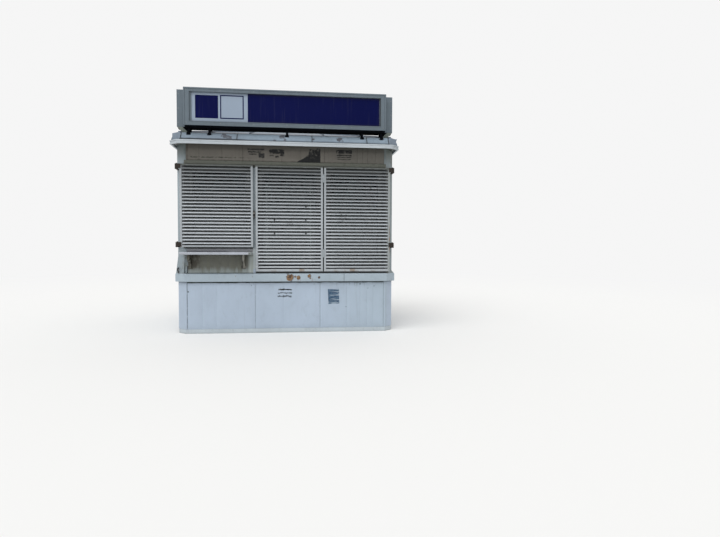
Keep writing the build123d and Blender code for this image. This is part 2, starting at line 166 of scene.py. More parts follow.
def tone(red, green, blue):
    """A colour given as 0 to 255 screen values, in the linear values that shaders take."""
    def linear(c):
        c /= 255
        return c / 12.92 if c <= 0.04045 else ((c + 0.055) / 1.055) ** 2.4
    return (linear(red), linear(green), linear(blue), 1.0)


def shade(colour, factor):
    """A colour made darker or lighter."""
    return (*(min(1.0, c * factor) for c in colour[:3]), 1.0)


DIRT = tone(70, 68, 60)
MOSS = tone(98, 102, 84)
RUST_DARK = tone(58, 38, 26)
RUST = tone(122, 78, 40)
RUST_PALE = tone(166, 122, 74)


class Field:
    """A value over a surface, which takes part in sums like a number; a | b is the larger of two."""

    def __init__(self, owner, socket):
        self.owner = owner
        self.socket = socket

    def __add__(self, other):
        return self.owner.math("ADD", self, other)

    def __sub__(self, other):
        return self.owner.math("SUBTRACT", self, other)

    def __rsub__(self, other):
        return self.owner.math("SUBTRACT", other, self)

    def __mul__(self, other):
        return self.owner.math("MULTIPLY", self, other)

    def __or__(self, other):
        return self.owner.math("MAXIMUM", self, other)

    def __abs__(self):
        return self.owner.math("ABSOLUTE", self, 0.0)

    def step(self, low, high):
        """0 up to low, 1 from high on, and smooth between them; falls instead where low is above high."""
        ends = {"Value": self, "From Min": min(low, high), "From Max": max(low, high),
                "To Min": float(low > high), "To Max": float(low < high)}
        return self.owner.add("ShaderNodeMapRange", "Result", ends, interpolation_type="SMOOTHSTEP")

    def between(self, low, high, soft):
        return self.step(low - soft, low) * self.step(high + soft, high)

    __radd__ = __add__
    __rmul__ = __mul__


class Nodes:
    """A node tree. Each method adds nodes and returns one output as a field."""

    def __init__(self, tree):
        self.tree = tree

    def put(self, socket, value):
        if isinstance(value, Field):
            self.tree.links.new(value.socket, socket)
        else:
            socket.default_value = value

    def add(self, kind, output, inputs=None, **settings):
        made = self.tree.nodes.new(kind)
        for key, value in settings.items():
            setattr(made, key, value)
        for key, value in (inputs or {}).items():
            self.put(made.inputs[key], value)
        return Field(self, made.outputs[output])

    def math(self, operation, first, second):
        return self.add("ShaderNodeMath", 0, {0: first, 1: second}, operation=operation)

    def part(self, vector, axis):
        return self.add("ShaderNodeSeparateXYZ", axis, {"Vector": vector})


class Shader(Nodes):
    """One material: its colour so far in body, its relief so far in height."""

    def __init__(self, name):
        self.material = bpy.data.materials.new(name)
        self.material.use_nodes = True
        super().__init__(self.material.node_tree)
        self.surface = self.tree.nodes["Principled BSDF"]
        self.point = self.add("ShaderNodeTexCoord", "Object")
        self.x, self.y, self.z = (self.part(self.point, axis) for axis in "XYZ")

    def mix(self, factor, first, second):
        return self.add("ShaderNodeMix", 2, {0: factor, 6: first, 7: second}, data_type="RGBA")

    def coat(self, mask, colour):
        """Lays a colour over the surface where the mask is 1."""
        self.body = self.mix(mask, self.body, colour)

    def scaled(self, scale, shift=0.0):
        scale = (scale, scale, scale) if isinstance(scale, (int, float)) else scale
        place = {"Vector": self.point, "Location": (shift, shift * 0.7, shift * 1.3), "Scale": scale}
        return self.add("ShaderNodeMapping", 0, place)

    def noise(self, scale, detail=4.0, rough=0.55, shift=0.0):
        """Soft noise with its middle at 0.5; the scale is its features to the metre, or along X, Y and Z."""
        look = {"Vector": self.scaled(scale, shift), "Scale": 1.0, "Detail": detail, "Roughness": rough}
        return self.add("ShaderNodeTexNoise", "Fac", look)

    def patchy(self, scale, low, high, **look):
        """Soft noise, 0 where it is under low and 1 where it is over high."""
        return self.noise(scale, **look).step(low, high)

    def spot(self, centre, radius, ragged=0.5):
        """1 inside a round patch with a ragged edge."""
        reach = self.add("ShaderNodeVectorMath", "Value", {0: self.point, 1: centre}, operation="DISTANCE")
        edge = (self.noise(38 / (1 + radius * 10), detail=5) - 0.5) * (radius * ragged * 3)
        return (reach + edge).step(radius * 1.05, radius * 0.9)

    def spots(self, y, places, ragged=0.5):
        """1 inside any of several patches that share a Y, each given by its X, Z and radius."""
        return reduce(or_, [self.spot((x, y, z), radius, ragged) for x, z, radius in places])

    def lines(self, places, half):
        """1 in narrow upright lines at places along X, broken up a little."""
        near = reduce(or_, [abs(self.x - x).step(half * 1.5, half * 0.6) for x in places])
        return near * self.noise(24, shift=81).step(0.25, 0.55)

    def crevice_shade_and_dirt(self, reach, strength):
        """Up to the strength in inside corners and slots, 0 on open faces: painted shade there, laid on with
        the dirt colour.
        """
        open_share = self.add("ShaderNodeAmbientOcclusion", "AO", {"Distance": reach}, samples=4)
        return open_share.step(0.92, 0.35) * strength

    def edge(self, radius):
        """1 on outside and inside edges, 0 on flats."""
        rounded = self.add("ShaderNodeBevel", "Normal", {"Radius": radius}, samples=4)
        plain = self.add("ShaderNodeNewGeometry", "Normal")
        alike = self.add("ShaderNodeVectorMath", "Value", {0: rounded, 1: plain}, operation="DOT_PRODUCT")
        return alike.step(0.995, 0.9)

    def upward(self):
        """1 on faces that look up, where dust settles."""
        return self.part(self.add("ShaderNodeNewGeometry", "Normal"), "Z").step(0.3, 0.9)

    def rust(self, shift=0.0, scale=RUST_DARK):
        """A rust colour that runs from dark scale to pale powder."""
        blotch = self.noise(34, detail=6, rough=0.7, shift=shift)
        powder = self.noise(160, detail=3, shift=shift + 3)
        deep = self.mix(blotch.step(0.38, 0.6), scale, RUST)
        return self.mix(powder.step(0.5, 0.72) * blotch.step(0.45, 0.62), deep, RUST_PALE)

    def close(self, roughness, relief=None, **settings):
        """Ends the material; relief is the height's distance and strength, settings name other sockets."""
        self.put(self.surface.inputs["Base Color"], self.body)
        self.put(self.surface.inputs["Roughness"], roughness)
        if relief:
            look = {"Height": self.height, "Distance": relief[0], "Strength": relief[1]}
            self.put(self.surface.inputs["Normal"], self.add("ShaderNodeBump", "Normal", look))
        for name, value in settings.items():
            self.put(self.surface.inputs[name.replace("_", " ")], value)
        return self.material


def paint(name, colour, dirt=DIRT, grime=0.3, streaks=0.3, wear=0.25, cracks=0.35, slots=0.5,
          low_dirt=None, extra=None):
    """Old enamel on sheet metal: uneven colour, rain streaks, dirt and painted shade in the corners, and bare
    edges.
    """
    s = Shader(name)
    patch = s.noise(9, detail=5, rough=0.6, shift=5)
    s.body = s.mix(s.patchy(2.1, 0.3, 0.7, detail=3), shade(colour, 0.94), shade(colour, 1.05))
    s.coat(patch.step(0.35, 0.75) * 0.35, colour)
    runs = s.patchy((46, 46, 1.5), 0.52, 0.78, detail=5, rough=0.62, shift=2)
    where = s.patchy((3.2, 3.2, 1.28), 0.38, 0.68, shift=9)
    specks = s.patchy(210, 0.66, 0.76, detail=2, shift=4) * (grime * 0.8)
    smear = s.patchy((17, 17, 10.2), 0.5, 0.78, detail=7, rough=0.7, shift=8) * grime
    # The soil mask holds real dirt and, from the crevice masks, painted shade in corners and slots
    soil_and_shade = runs * where * streaks | specks | smear | s.crevice_shade_and_dirt(0.035, cracks) | s.crevice_shade_and_dirt(0.007, slots)
    if low_dirt:
        low, high, amount = low_dirt
        splash = (s.z + s.noise(14, detail=5, shift=6) * 0.12).step(high, low)
        soil_and_shade = soil_and_shade | splash * s.patchy(60, 0.2, 0.7, shift=7) * amount
    s.coat(soil_and_shade, dirt)
    worn = s.edge(0.0022) * s.patchy(26, 0.52, 0.66, detail=5, shift=12) * wear
    s.coat(worn, s.rust())
    chips = s.patchy(31, 0.735, 0.75, detail=8, rough=0.75, shift=15) * wear
    s.coat(chips, s.rust(4))
    s.height = s.noise(320, detail=2) * 0.25 - (chips | worn)
    if extra:
        extra(s)
    return s.close(s.math("MINIMUM", soil_and_shade * 0.3 + (patch * 0.12 + 0.40), 0.95), (0.0004, 0.7))


def rusty(name, dark, scale):
    """Steel that has rusted all over, with flakes."""
    s = Shader(name)
    flakes = s.noise(70, detail=6, rough=0.7, shift=2)
    s.body = s.mix(flakes.step(0.3 + dark * 0.3, 0.85), scale, s.rust(scale=scale))
    s.height = flakes + s.noise(240, detail=3) * 0.4
    return s.close(flakes * 0.25 + 0.68, (0.0012, 0.9), Metallic=0.1)


def metal(name, colour, dirt=DIRT, grime=0.3, roughness=0.45, metallic=0.3, brushed=0.0, spangle=0.0,
          gloss=0.5, extra=None):
    """Bare or anodised metal, with a dull film, water marks and fine drawn lines or spangle."""
    s = Shader(name)
    film = s.noise(5, detail=5, shift=1)
    rain = s.patchy((38, 38, 1.2), 0.5, 0.8, detail=5, rough=0.65, shift=3)
    smear = s.patchy(23, 0.56, 0.8, detail=7, rough=0.7, shift=6)
    # Dirt, and painted shade in inside corners from the crevice mask
    soil_and_shade = rain * grime | s.crevice_shade_and_dirt(0.03, grime * 1.4) | smear * grime
    s.body = s.mix(film.step(0.3, 0.72), shade(colour, 0.86), colour)
    s.height = s.noise(260, detail=2, shift=5)
    if brushed:
        lines = s.noise((7, 7, 900), detail=2, shift=7)
        s.coat(lines.step(0.35, 0.65) * brushed, shade(colour, 0.8))
        s.height = s.height + lines
    if spangle:
        cells = s.add("ShaderNodeTexVoronoi", "Color", {"Vector": s.scaled(85), "Scale": 1.0})
        s.coat(s.part(cells, "X") * spangle, shade(colour, 1.35))
    s.coat(soil_and_shade, dirt)
    if extra:
        extra(s)
    rough = s.math("MINIMUM", soil_and_shade * 0.4 + film * 0.15 + roughness, 0.95)
    return s.close(rough, (0.0002, 0.5), Metallic=metallic, Specular_IOR_Level=gloss)


def plastic(name, colour, fade, roughness, wash, gloss):
    """A painted acrylic sheet, sun-faded, with rain marks and fine scratches."""
    s = Shader(name)
    s.body = s.mix(s.patchy(1.6, 0.35, 0.75, detail=3, shift=1) * 0.5, colour, fade)
    rain = s.patchy((55, 55, 2.2), 0.52, 0.8, detail=5, rough=0.65, shift=2) * wash
    s.coat(rain, tone(150, 152, 150))
    dust = s.patchy(150, 0.6, 0.8, detail=3, shift=5) * wash
    # Dust, and painted shade in inside corners from the crevice mask
    s.coat(dust | s.crevice_shade_and_dirt(0.03, 0.45), DIRT)
    scratch = s.patchy((700, 700, 30), 0.7, 0.74, detail=1, shift=8)
    s.height = s.noise(2.5, detail=1) * 3.0 + scratch * -0.3
    return s.close(rain * 0.6 + dust * 0.5 + roughness, (0.0006, 0.35), Specular_IOR_Level=gloss)


def glass(name):
    """Clear glass under a film of dust that has been wiped in places."""
    s = Shader(name)
    wiped = s.patchy((5, 5, 28), 0.3, 0.7, shift=4)
    film = s.patchy(7, 0.42, 0.8, detail=7, rough=0.7) * wiped
    s.body = s.mix(film, tone(196, 212, 208), tone(150, 156, 150))
    return s.close(film * 0.35 + 0.03, Transmission_Weight=1.0, IOR=1.45)


def boards(name, colour, joint, pitch):
    """Worn boards or lining sheets with dark joints along Y."""
    s = Shader(name)
    grain = s.noise((60, 3, 60), detail=6, rough=0.65)
    across = s.math("FRACT", s.math("DIVIDE", s.x, pitch), 0.0)
    gap = abs(across - 0.5).step(0.485, 0.495)
    s.body = s.mix(grain.step(0.3, 0.7), shade(colour, 0.72), colour)
    s.coat(gap | s.patchy(6, 0.5, 0.8, detail=6, shift=3) * 0.5, joint)
    s.height = grain * 0.4 - gap
    return s.close(grain * 0.25 + 0.6, (0.001, 0.8))


def matt(name, colour, stain, bands=0.0, wear=0.45, patch=140, pale=tone(150, 154, 156), whole=0.0):
    """Weathered paper, glue or rubber, hardly worn below a level; paper has no print, at most faded bands."""
    s = Shader(name)
    fibre = s.height = s.noise(60, detail=7, rough=0.75)
    s.body = s.mix(fibre.step(0.42, 0.62), colour, stain)
    if bands:
        stripe = s.noise((4, 4, bands), detail=2, shift=3)
        s.coat(stripe.step(0.54, 0.60) * fibre.step(0.60, 0.5), pale)
    worn = s.noise(patch, detail=5, rough=0.7, shift=8).step(0.5, 0.66)
    s.coat(worn * s.z.step(whole, whole + 0.06) * wear, pale)
    return s.close(0.86, (0.0006, 0.8))


def band_rust(s):
    """Bare rusty patches where paint has flaked off the front of the waist band, and its darker foot."""
    level, y = (band_low + band_high) / 2, -half_depth - band_out
    patches = [(x, level + up, radius) for x, up, radius in (
        (0.031, 0.000, 0.037), (0.094, 0.012, 0.011), (0.131, -0.003, 0.023), (0.258, 0.016, 0.019),
        (0.268, -0.010, 0.008), (0.374, 0.000, 0.012), (-0.600, 0.018, 0.005), (-0.405, 0.010, 0.004))]
    front = s.y.step(-side_edge + 0.06, -side_edge)
    flaked = s.spots(y, patches)
    s.coat(s.spots(y, [(x, z, radius * 1.25) for x, z, radius in patches[:6]], 0.9) * 0.7, RUST_DARK)
    s.coat(abs(s.x - (BAND_LAP - BAND_GAP / 2)).step(0.004, 0.002) * front * 0.8, tone(66, 74, 78))
    runs = s.x.between(0.01, 0.40, 0.03) * s.patchy((60, 60, 4), 0.56, 0.72, shift=21)
    s.coat(runs * s.z.step(level + 0.01, level - 0.02) * front * 0.3, RUST)
    blotch = s.patchy(70, 0.36, 0.6, detail=6, rough=0.7, shift=22)
    s.coat(flaked, s.mix(blotch, tone(142, 112, 76), tone(84, 58, 36)))
    core = s.spot((0.037, y, level + 0.016), 0.022, 0.9) | s.spot((0.374, y, level), 0.012)
    s.coat(core * 0.85, RUST_DARK)
    foot = (s.z + s.noise((22, 22, 6.6), detail=5, shift=24) * 0.01).step(band_low + 0.012, band_low + 0.005)
    s.coat(foot * 0.45, tone(70, 76, 76))
    s.height = s.height - flaked * 1.4


def wall_marks_and_shade(s):
    """Painted shade in the front's lower wall seams and in a dark strip over the band, with marks and runs
    under the band.
    """
    front = s.y.step(-half_depth + 0.03, -half_depth + 0.01)
    # Painted shade in the seams between the sheets
    seams = s.lines((-cover_x,), 0.0035) | s.lines((*LOWER_SEAMS, cover_x), 0.003) * 0.5
    s.coat(seams * front * 0.75, tone(74, 82, 88))
    s.coat(s.x.step(0.2, 1.2) * front * 0.3, tone(150, 166, 172))
    marks = s.spots(-half_depth - SHEET, (
        (0.870, 0.574, 0.008), (1.042, 0.548, 0.007), (0.968, 0.524, 0.006), (0.315, 0.576, 0.006),
        (-1.148, 0.491, 0.010), (-0.42, 0.560, 0.005), (0.700, 0.30, 0.004)), 0.9)
    runs = s.patchy((46, 46, 5), 0.55, 0.72, detail=5, shift=71)
    runs = runs * s.z.step(band_low - 0.10, band_low - 0.01) * s.x.step(0.3, 0.9) * 0.6
    s.coat((marks | runs) * front, tone(84, 92, 98))
    # Painted shade in the strip over the band, behind the middle and right shutters
    gap = s.z.step(band_high - 0.002, band_high + 0.001) * front
    s.coat(gap * s.x.step(middle_low.x - 0.006, middle_low.x - 0.002) * 0.95, tone(40, 44, 42))


def upper_shade(s):
    """Painted shade behind the shutters, under the left shutter and under the canopy, a post painted lighter
    below the shutters as painted light, darker with moss low on the left, grime down the right.
    """
    post = (left_high.x + middle_low.x) / 2
    aside = abs(s.x - post)
    face = s.y.step(-half_depth + 0.07, -half_depth + 0.06)
    face = face * s.y.step(-half_depth - 0.011, -half_depth - 0.009)
    behind = aside.step(0.022, 0.030) * s.x.between(left_low.x + 0.012, right_high.x - 0.012, 0.006)
    above = s.z.step(left_low.z - 0.004, left_low.z + 0.004) | s.x.step(post, post + 0.02)
    # Painted shade on the wall behind the shutters
    s.coat(behind * s.z.step(middle_high.z - 0.004, middle_high.z - 0.02) * above * face, tone(44, 48, 50))
    # Painted shade in a ragged black band under the left shutter
    rub = s.noise((24, 24, 9.6), detail=6, rough=0.7, shift=38) * 0.016
    under = s.x.step(left_low.x + 0.002, left_low.x + 0.012) * s.x.step(-cover_x + 0.02, -cover_x + 0.01)
    under = under * (s.z + rub).step(left_low.z - 0.014, left_low.z - 0.006)
    under = under * s.z.step(left_low.z + 0.03, left_low.z + 0.02) * s.y.step(-half_depth + 0.02, -half_depth)
    s.coat(under, tone(40, 42, 38))
    # Painted light: the post between the shutters is lighter below them
    s.coat(aside.step(0.07, 0.05) * face * s.z.step(left_low.z, left_low.z - 0.03) * 0.8, tone(176, 184, 186))
    # Painted shade from the canopy, darkening the upper fronts towards the top
    ahead = s.y.step(-side_edge + 0.06, -side_edge - 0.02)
    canopy_shade = (s.z + s.noise(12, detail=5, shift=33) * 0.08).step(wall_top - 0.22, wall_top - 0.02)
    s.coat(canopy_shade * ahead * 0.68, tone(66, 74, 66))
    low_left = s.x.step(-cover_x + 0.02, -cover_x) * s.z.step(shelf_low + 0.04, shelf_low - 0.03) * ahead
    s.coat(low_left * 0.4, tone(116, 128, 134))
    moss = s.x.step(-flat_edge - 0.07, -flat_edge) * s.patchy(28, 0.4, 0.62, detail=6, rough=0.7, shift=35)
    s.coat(low_left * moss * 0.6, tone(98, 98, 84))
    grime = s.patchy((9, 9, 3.6), 0.25, 0.6, detail=6, shift=34)
    s.coat(s.x.step(flat_edge - 0.01, flat_edge + 0.02) * ahead * grime * 0.5, tone(84, 88, 76))


def shutter_dirt_and_shade(s):
    """Dark greenish top rails, painted shade towards the canopy, a dull outer stile, dirt at the feet, and
    rust down the right shutter's edge.
    """
    top = (s.z + s.noise(20, detail=5, shift=36) * 0.012).step(middle_high.z - 0.016, middle_high.z - 0.006)
    s.coat(top * 0.9, tone(68, 72, 64))
    # Painted shade: the frames darken towards the canopy
    s.coat(s.z.step(middle_high.z - 0.5, middle_high.z) * 0.22, tone(60, 64, 62))
    s.coat(s.x.step(right_high.x - 0.026, right_high.x - 0.018) * 0.5, tone(122, 128, 120))
    foot = s.z.step(middle_low.z + 0.03, middle_low.z) * s.x.step(middle_low.x - 0.01, middle_low.x)
    s.coat(foot * s.patchy(13, 0.5, 0.7, detail=6, shift=32) * 0.6, tone(112, 98, 80))
    smears = s.spots(middle_low.y, [(x, middle_low.z + 0.012, 0.03) for x in (0.16, 0.77)], 0.9)
    s.coat(smears * 0.6, tone(118, 96, 70))
    outer = s.x.step(right_high.x - 0.014, right_high.x - 0.004) * s.z.between(1.03, 1.34, 0.12)
    left_foot = s.x.step(left_low.x + 0.09, left_low.x) * s.z.step(1.07, 1.0)
    rusted = (outer | left_foot * 0.7) * s.patchy((24, 24, 9.6), 0.42, 0.58, detail=6, shift=31)
    s.coat(rusted * 0.85, s.rust(6))
    s.height = s.height - rusted


def blade_shade_and_smears(s):
    """Painted shade: the blades darken towards the canopy, most under the top rail, and on their inner parts;
    a few dull smears.
    """
    # Painted shade from the canopy, deepest on the top blades
    s.coat(s.z.step(middle_high.z - 0.75, middle_high.z + 0.02) * 0.55, tone(58, 62, 60))
    s.coat(s.z.step(middle_high.z - 0.14, middle_high.z - 0.03) * 0.35, tone(50, 54, 48))
    right = s.x.step(right_low.x, right_low.x + 0.2) * s.z.step(middle_high.z - 0.2, middle_high.z - 0.5)
    s.coat(right * 0.22, tone(96, 108, 112))
    # Painted shade in the slits, on the blades' inner parts
    s.coat(s.y.step(middle_low.y + 0.004, middle_low.y + 0.012) * 0.93, tone(29, 33, 38))
    smears = s.spots(-half_depth - 0.032, (
        (0.952, 1.311, 0.014), (0.994, 1.725, 0.016), (0.66, 1.39, 0.05), (0.03, 1.30, 0.04),
        (0.15, 1.26, 0.025)), 0.9)
    s.coat(smears * s.patchy(45, 0.42, 0.62, detail=6, rough=0.7, shift=37) * 0.7, tone(52, 54, 52))


def sill_shade(s):
    """Painted shade: black in a ragged band right under the left shutter, and a dull line in the joint over
    the shelf.
    """
    ragged = s.noise((24, 24, 9.6), detail=6, rough=0.7, shift=38) * 0.016
    # Painted shade in the joint over the shelf
    line = (s.z + ragged * 0.4).between(shelf_high + 0.008, shelf_high + 0.016, 0.004)
    s.coat(line * s.x.step(-0.62, -0.75) * 0.7, tone(66, 68, 80))
    # Painted shade under the left shutter
    s.coat((s.z + ragged).step(left_low.z - 0.016, left_low.z - 0.008), tone(40, 42, 38))


def shelf_end(s):
    """The shelf's right end has lost its white coat, and a fixing has left a dark ring on it."""
    worn = (s.x + s.noise(40, shift=46) * 0.012).step(shelf_right - 0.034, shelf_right - 0.030)
    s.coat(worn * 0.85, tone(136, 142, 140))
    centre = (shelf_right - 0.017, shelf_front, (shelf_low + shelf_high) / 2)
    s.coat(s.spot(centre, 0.0145, 0.15) * (1 - s.spot(centre, 0.0085, 0.15)) * 0.9, tone(52, 50, 48))


def bracket_dirt_and_shade(s):
    """The left bracket is nearly black with moss, dirt and painted shade; the right one is dark at its foot,
    and its left half is in painted shade.
    """
    # Dirt and painted shade darken the left bracket
    s.coat(s.x.step(-0.8, -0.9) * s.patchy(30, 0.25, 0.5, detail=5, shift=47) * 0.9, tone(50, 48, 36))
    # The right bracket's dark foot, and painted shade on its left half
    foot = s.z.step(band_high + 0.075, band_high + 0.05)
    half = s.x.step(bracket_high.x - 0.010, bracket_high.x - 0.013) * 0.9
    s.coat((foot | half) * s.x.step(-0.9, -0.8), tone(40, 39, 34))


def frieze_dirt_and_shade(s):
    """Soot and moss along the frieze's foot, painted shade under the canopy, in the seams and grooves and
    behind the shutters' tops, and a brown stripe.
    """
    ragged = s.noise((26, 26, 13), detail=6, rough=0.7, shift=41) * 0.05
    s.coat((s.z + ragged).step(rail_high + 0.045, rail_high + 0.018) * 0.75, tone(44, 44, 32))
    # Painted shade under the canopy
    s.coat((s.z + ragged * 0.8).step(wall_top - 0.06, wall_top - 0.02) * 0.5, tone(58, 56, 52))
    s.coat(s.x.step(0.3, 0.8) * 0.25, tone(52, 58, 52))
    stripe = s.x.between(-1.155, -1.132, 0.003) * s.patchy(9, 0.3, 0.6, detail=6, shift=42)
    # Painted shade in the seams and grooves, and a brown stripe
    s.coat(s.lines((*FRIEZE_SEAMS, *FRIEZE_GROOVES), 0.0028) * 0.45 | stripe * 0.6, tone(52, 48, 42))
    moss = (s.z + ragged * 0.5).between(rail_high + 0.046, rail_high + 0.056, 0.005) * s.x.step(-0.2, -0.75)
    s.coat(moss * s.patchy(34, 0.42, 0.56, detail=5, shift=43) * 0.9, tone(42, 44, 32))
    # Painted shade on the wall seen behind the shutters' top slit
    s.coat(s.z.step(middle_high.z - 0.001, middle_high.z - 0.004) * 0.95, tone(34, 38, 34))


def apron_shade_and_dirt(s):
    """Painted shade under the serving shelf: the dark panel pales towards its foot and to the right; mossy
    runs and a brown patch.
    """
    runs = s.noise((24, 24, 3), detail=6, rough=0.65, shift=51)
    # Painted light: the shelf's painted shadow pales towards the panel's foot
    s.coat((s.z + (runs - 0.5) * 0.16).step(band_high + 0.085, band_high + 0.005) * 0.85, tone(140, 150, 150))
    # Painted light to the right, beside the right bracket
    right = s.x.step(left_high.x - 0.075, left_high.x - 0.03) * s.z.step(shelf_low + 0.03, shelf_low - 0.05)
    s.coat(right * 0.85, tone(166, 174, 172))
    s.coat(runs.step(0.48, 0.7) * 0.35, MOSS)
    brown = abs(s.x + 1.095).step(0.115, 0.05) * s.patchy(19, 0.3, 0.55, detail=6, shift=53)
    s.coat(brown * s.z.step(shelf_low - 0.19, shelf_low - 0.13) * 0.85, tone(48, 42, 30))


def flashing_dirt_and_shade(s):
    """Dark smudges of old sealant on the flashing, a duller left half, and painted shade along its foot."""
    y, z = (foot_front + roof_low.y) / 2, (roof_base + flashing_top) / 2
    smudges = reduce(or_, [s.spot((x, y + up * 0.97, z + up), radius, 0.9) for x, up, radius in (
        (-0.702, 0.012, 0.042), (-0.655, -0.006, 0.030), (-0.045, 0.022, 0.036), (-0.02, -0.02, 0.016),
        (0.608, 0.008, 0.036), (0.640, -0.016, 0.016), (-0.140, -0.03, 0.018), (0.30, 0.0, 0.014))])
    s.coat(smudges * s.patchy(26, 0.30, 0.50, detail=5, rough=0.7, shift=61) * 0.85, tone(60, 56, 62))
    s.coat(s.x.step(-0.2, -0.8) * 0.28, tone(92, 98, 108))
    # Painted shade along the flashing's foot, where it stands off the fascia
    level = s.z + s.noise((18, 18, 7.2), detail=5, shift=62) * 0.014
    foot = level.step(roof_base + 0.036, roof_base + 0.022)
    s.coat(foot * (s.x.step(-0.3, -0.6) * 0.5 + 0.45), tone(46, 52, 60))


def settled_dust(s):
    """Pale dust and dark leaf stains on faces that look up."""
    top = s.upward()
    s.coat(top * s.patchy(7, 0.35, 0.7, detail=6, rough=0.65, shift=64) * 0.35, tone(168, 168, 160))
    s.coat(top * s.patchy(16, 0.56, 0.72, detail=7, rough=0.7, shift=65) * 0.5, tone(76, 78, 68))


# Finishes
WALL = paint("wall_enamel", tone(165, 179, 195), grime=0.14, streaks=0.18, wear=0.3, slots=0.6,
             low_dirt=(0.03, 0.22, 0.14), extra=wall_marks_and_shade)
BASE = paint("base_enamel", tone(176, 186, 192), streaks=0.2, wear=0.5, low_dirt=(0.01, 0.07, 0.8))
BEARER = paint("bearer_enamel", tone(86, 92, 96), grime=0.6, streaks=0.5, wear=1.0, low_dirt=(0.0, 0.06, 0.9))
UPPER = paint("upper_enamel", tone(143, 155, 162), grime=0.2, streaks=0.36, wear=0.3, extra=upper_shade)
FRIEZE = paint("frieze_enamel", tone(107, 103, 96), grime=0.35, streaks=0.4, wear=0.2, slots=0.9,
               extra=frieze_dirt_and_shade)
# The apron's dark colour is painted shadow of the serving shelf
APRON = paint("apron_enamel_in_shade", tone(91, 92, 84), grime=0.25, streaks=0.2, wear=0.2, extra=apron_shade_and_dirt)
SILL = paint("sill_enamel", tone(142, 144, 149), grime=0.45, wear=0.2, cracks=0.5, extra=sill_shade)
BAND = paint("band_enamel", tone(156, 170, 180), grime=0.16, streaks=0.16, wear=0.5, extra=band_rust)
RAIL = paint("rail_enamel", tone(86, 89, 80), dirt=tone(44, 48, 34), grime=0.6, wear=0.3)
FASCIA = paint("fascia_enamel", tone(178, 186, 192), grime=0.2, streaks=0.22)
SHUTTER = paint("shutter_enamel", tone(160, 166, 171), grime=0.18, streaks=0.14, wear=0.35, cracks=0.3,
                extra=shutter_dirt_and_shade)
HINGE = paint("hinge_enamel", tone(146, 153, 158), grime=0.4, wear=0.6, cracks=0.5)
BLADE = paint("blade_enamel", tone(187, 193, 199), grime=0.1, streaks=0.08, wear=0.2, cracks=0.1, slots=0.3,
              extra=blade_shade_and_smears)
SHELF = paint("shelf_enamel", tone(164, 169, 178), grime=0.32, streaks=0.1, wear=0.6, extra=shelf_end)
BRACKET = paint("bracket_enamel", tone(140, 138, 130), dirt=tone(44, 36, 28), grime=0.6, streaks=0.5,
                wear=0.6, extra=bracket_dirt_and_shade)
DOOR = paint("door_enamel", tone(158, 170, 184), grime=0.2, streaks=0.25, wear=0.45,
             low_dirt=(0.06, 0.34, 0.4))
# The sashes' dark colour is partly painted shade behind the louvres
SASH = paint("sash_enamel", tone(72, 76, 76), streaks=0.2, wear=0.4)
SOFFIT = paint("soffit_enamel", tone(120, 122, 120), streaks=0.1, wear=0.2)
FLASHING = metal("flashing_zinc", tone(132, 148, 162), roughness=0.5, spangle=0.2, extra=flashing_dirt_and_shade)
CAP = metal("cap_zinc", tone(122, 134, 148), grime=0.25, spangle=0.15)
ROOFING = metal("roof_zinc", tone(134, 146, 162), grime=0.42, roughness=0.5, metallic=0.35, spangle=0.25,
                extra=settled_dust)
FRAME = metal("sign_aluminium", tone(96, 108, 117), dirt=tone(62, 66, 66), brushed=0.3, extra=settled_dust)
# The sign's underside, legs and gussets are black partly as painted shade under the sign
BLACK = metal("black_enamel_and_shade", tone(6, 8, 13), dirt=tone(26, 27, 28), grime=0.1, roughness=0.8, metallic=0.0,
              gloss=0.05)
STRUT = metal("strut_steel", tone(112, 120, 114), dirt=tone(50, 54, 46), grime=0.4, roughness=0.6,
              metallic=0.1)
STEEL = metal("plain_steel", tone(150, 150, 148), grime=0.4, roughness=0.4, metallic=0.8)
RUSTY = rusty("rusted_steel", 0.8, tone(34, 27, 22))
RUSTY_DARK = rusty("dark_rusted_steel", 1.0, tone(24, 22, 21))
WHITE = plastic("sign_white_sheet", tone(139, 153, 170), tone(147, 160, 176), 0.4, 0.22, 0.3)
NAVY = plastic("sign_navy_sheet", tone(3, 9, 60), tone(6, 13, 67), 0.5, 0.04, 0.06)
GLASS = glass("window_glass_pane")
FLOORING = boards("floor_boarding", tone(120, 92, 66), tone(40, 32, 26), 0.12)
GREY_PAPER = matt("grey_glue", tone(30, 31, 32), tone(52, 53, 54), patch=60, pale=tone(128, 126, 120))
DARK_PAPER = matt("dark_glue", tone(14, 16, 18), tone(32, 34, 36), wear=0.62, patch=38,
                  pale=tone(128, 125, 118))
POSTER = matt("dark_poster", tone(15, 17, 19), tone(34, 36, 38), wear=0.62, patch=38,
              pale=tone(128, 125, 118), whole=2.05)
BLUE_PAPER = matt("blue_flyer", tone(36, 62, 88), tone(62, 92, 118), bands=75, wear=0.5, patch=90,
                  pale=tone(150, 164, 176))
STREAK_PAPER = matt("glue_streaks", tone(70, 77, 86), tone(118, 128, 139), wear=0.7, patch=60,
                    pale=tone(158, 168, 180))
SEALANT = matt("sealant", tone(26, 30, 34), tone(48, 52, 56), wear=0.2)
SEAL = matt("black_seal", tone(32, 40, 40), tone(54, 62, 60), wear=0.2)
BEAD = matt("glazing_rubber", tone(34, 34, 36), tone(60, 60, 60))

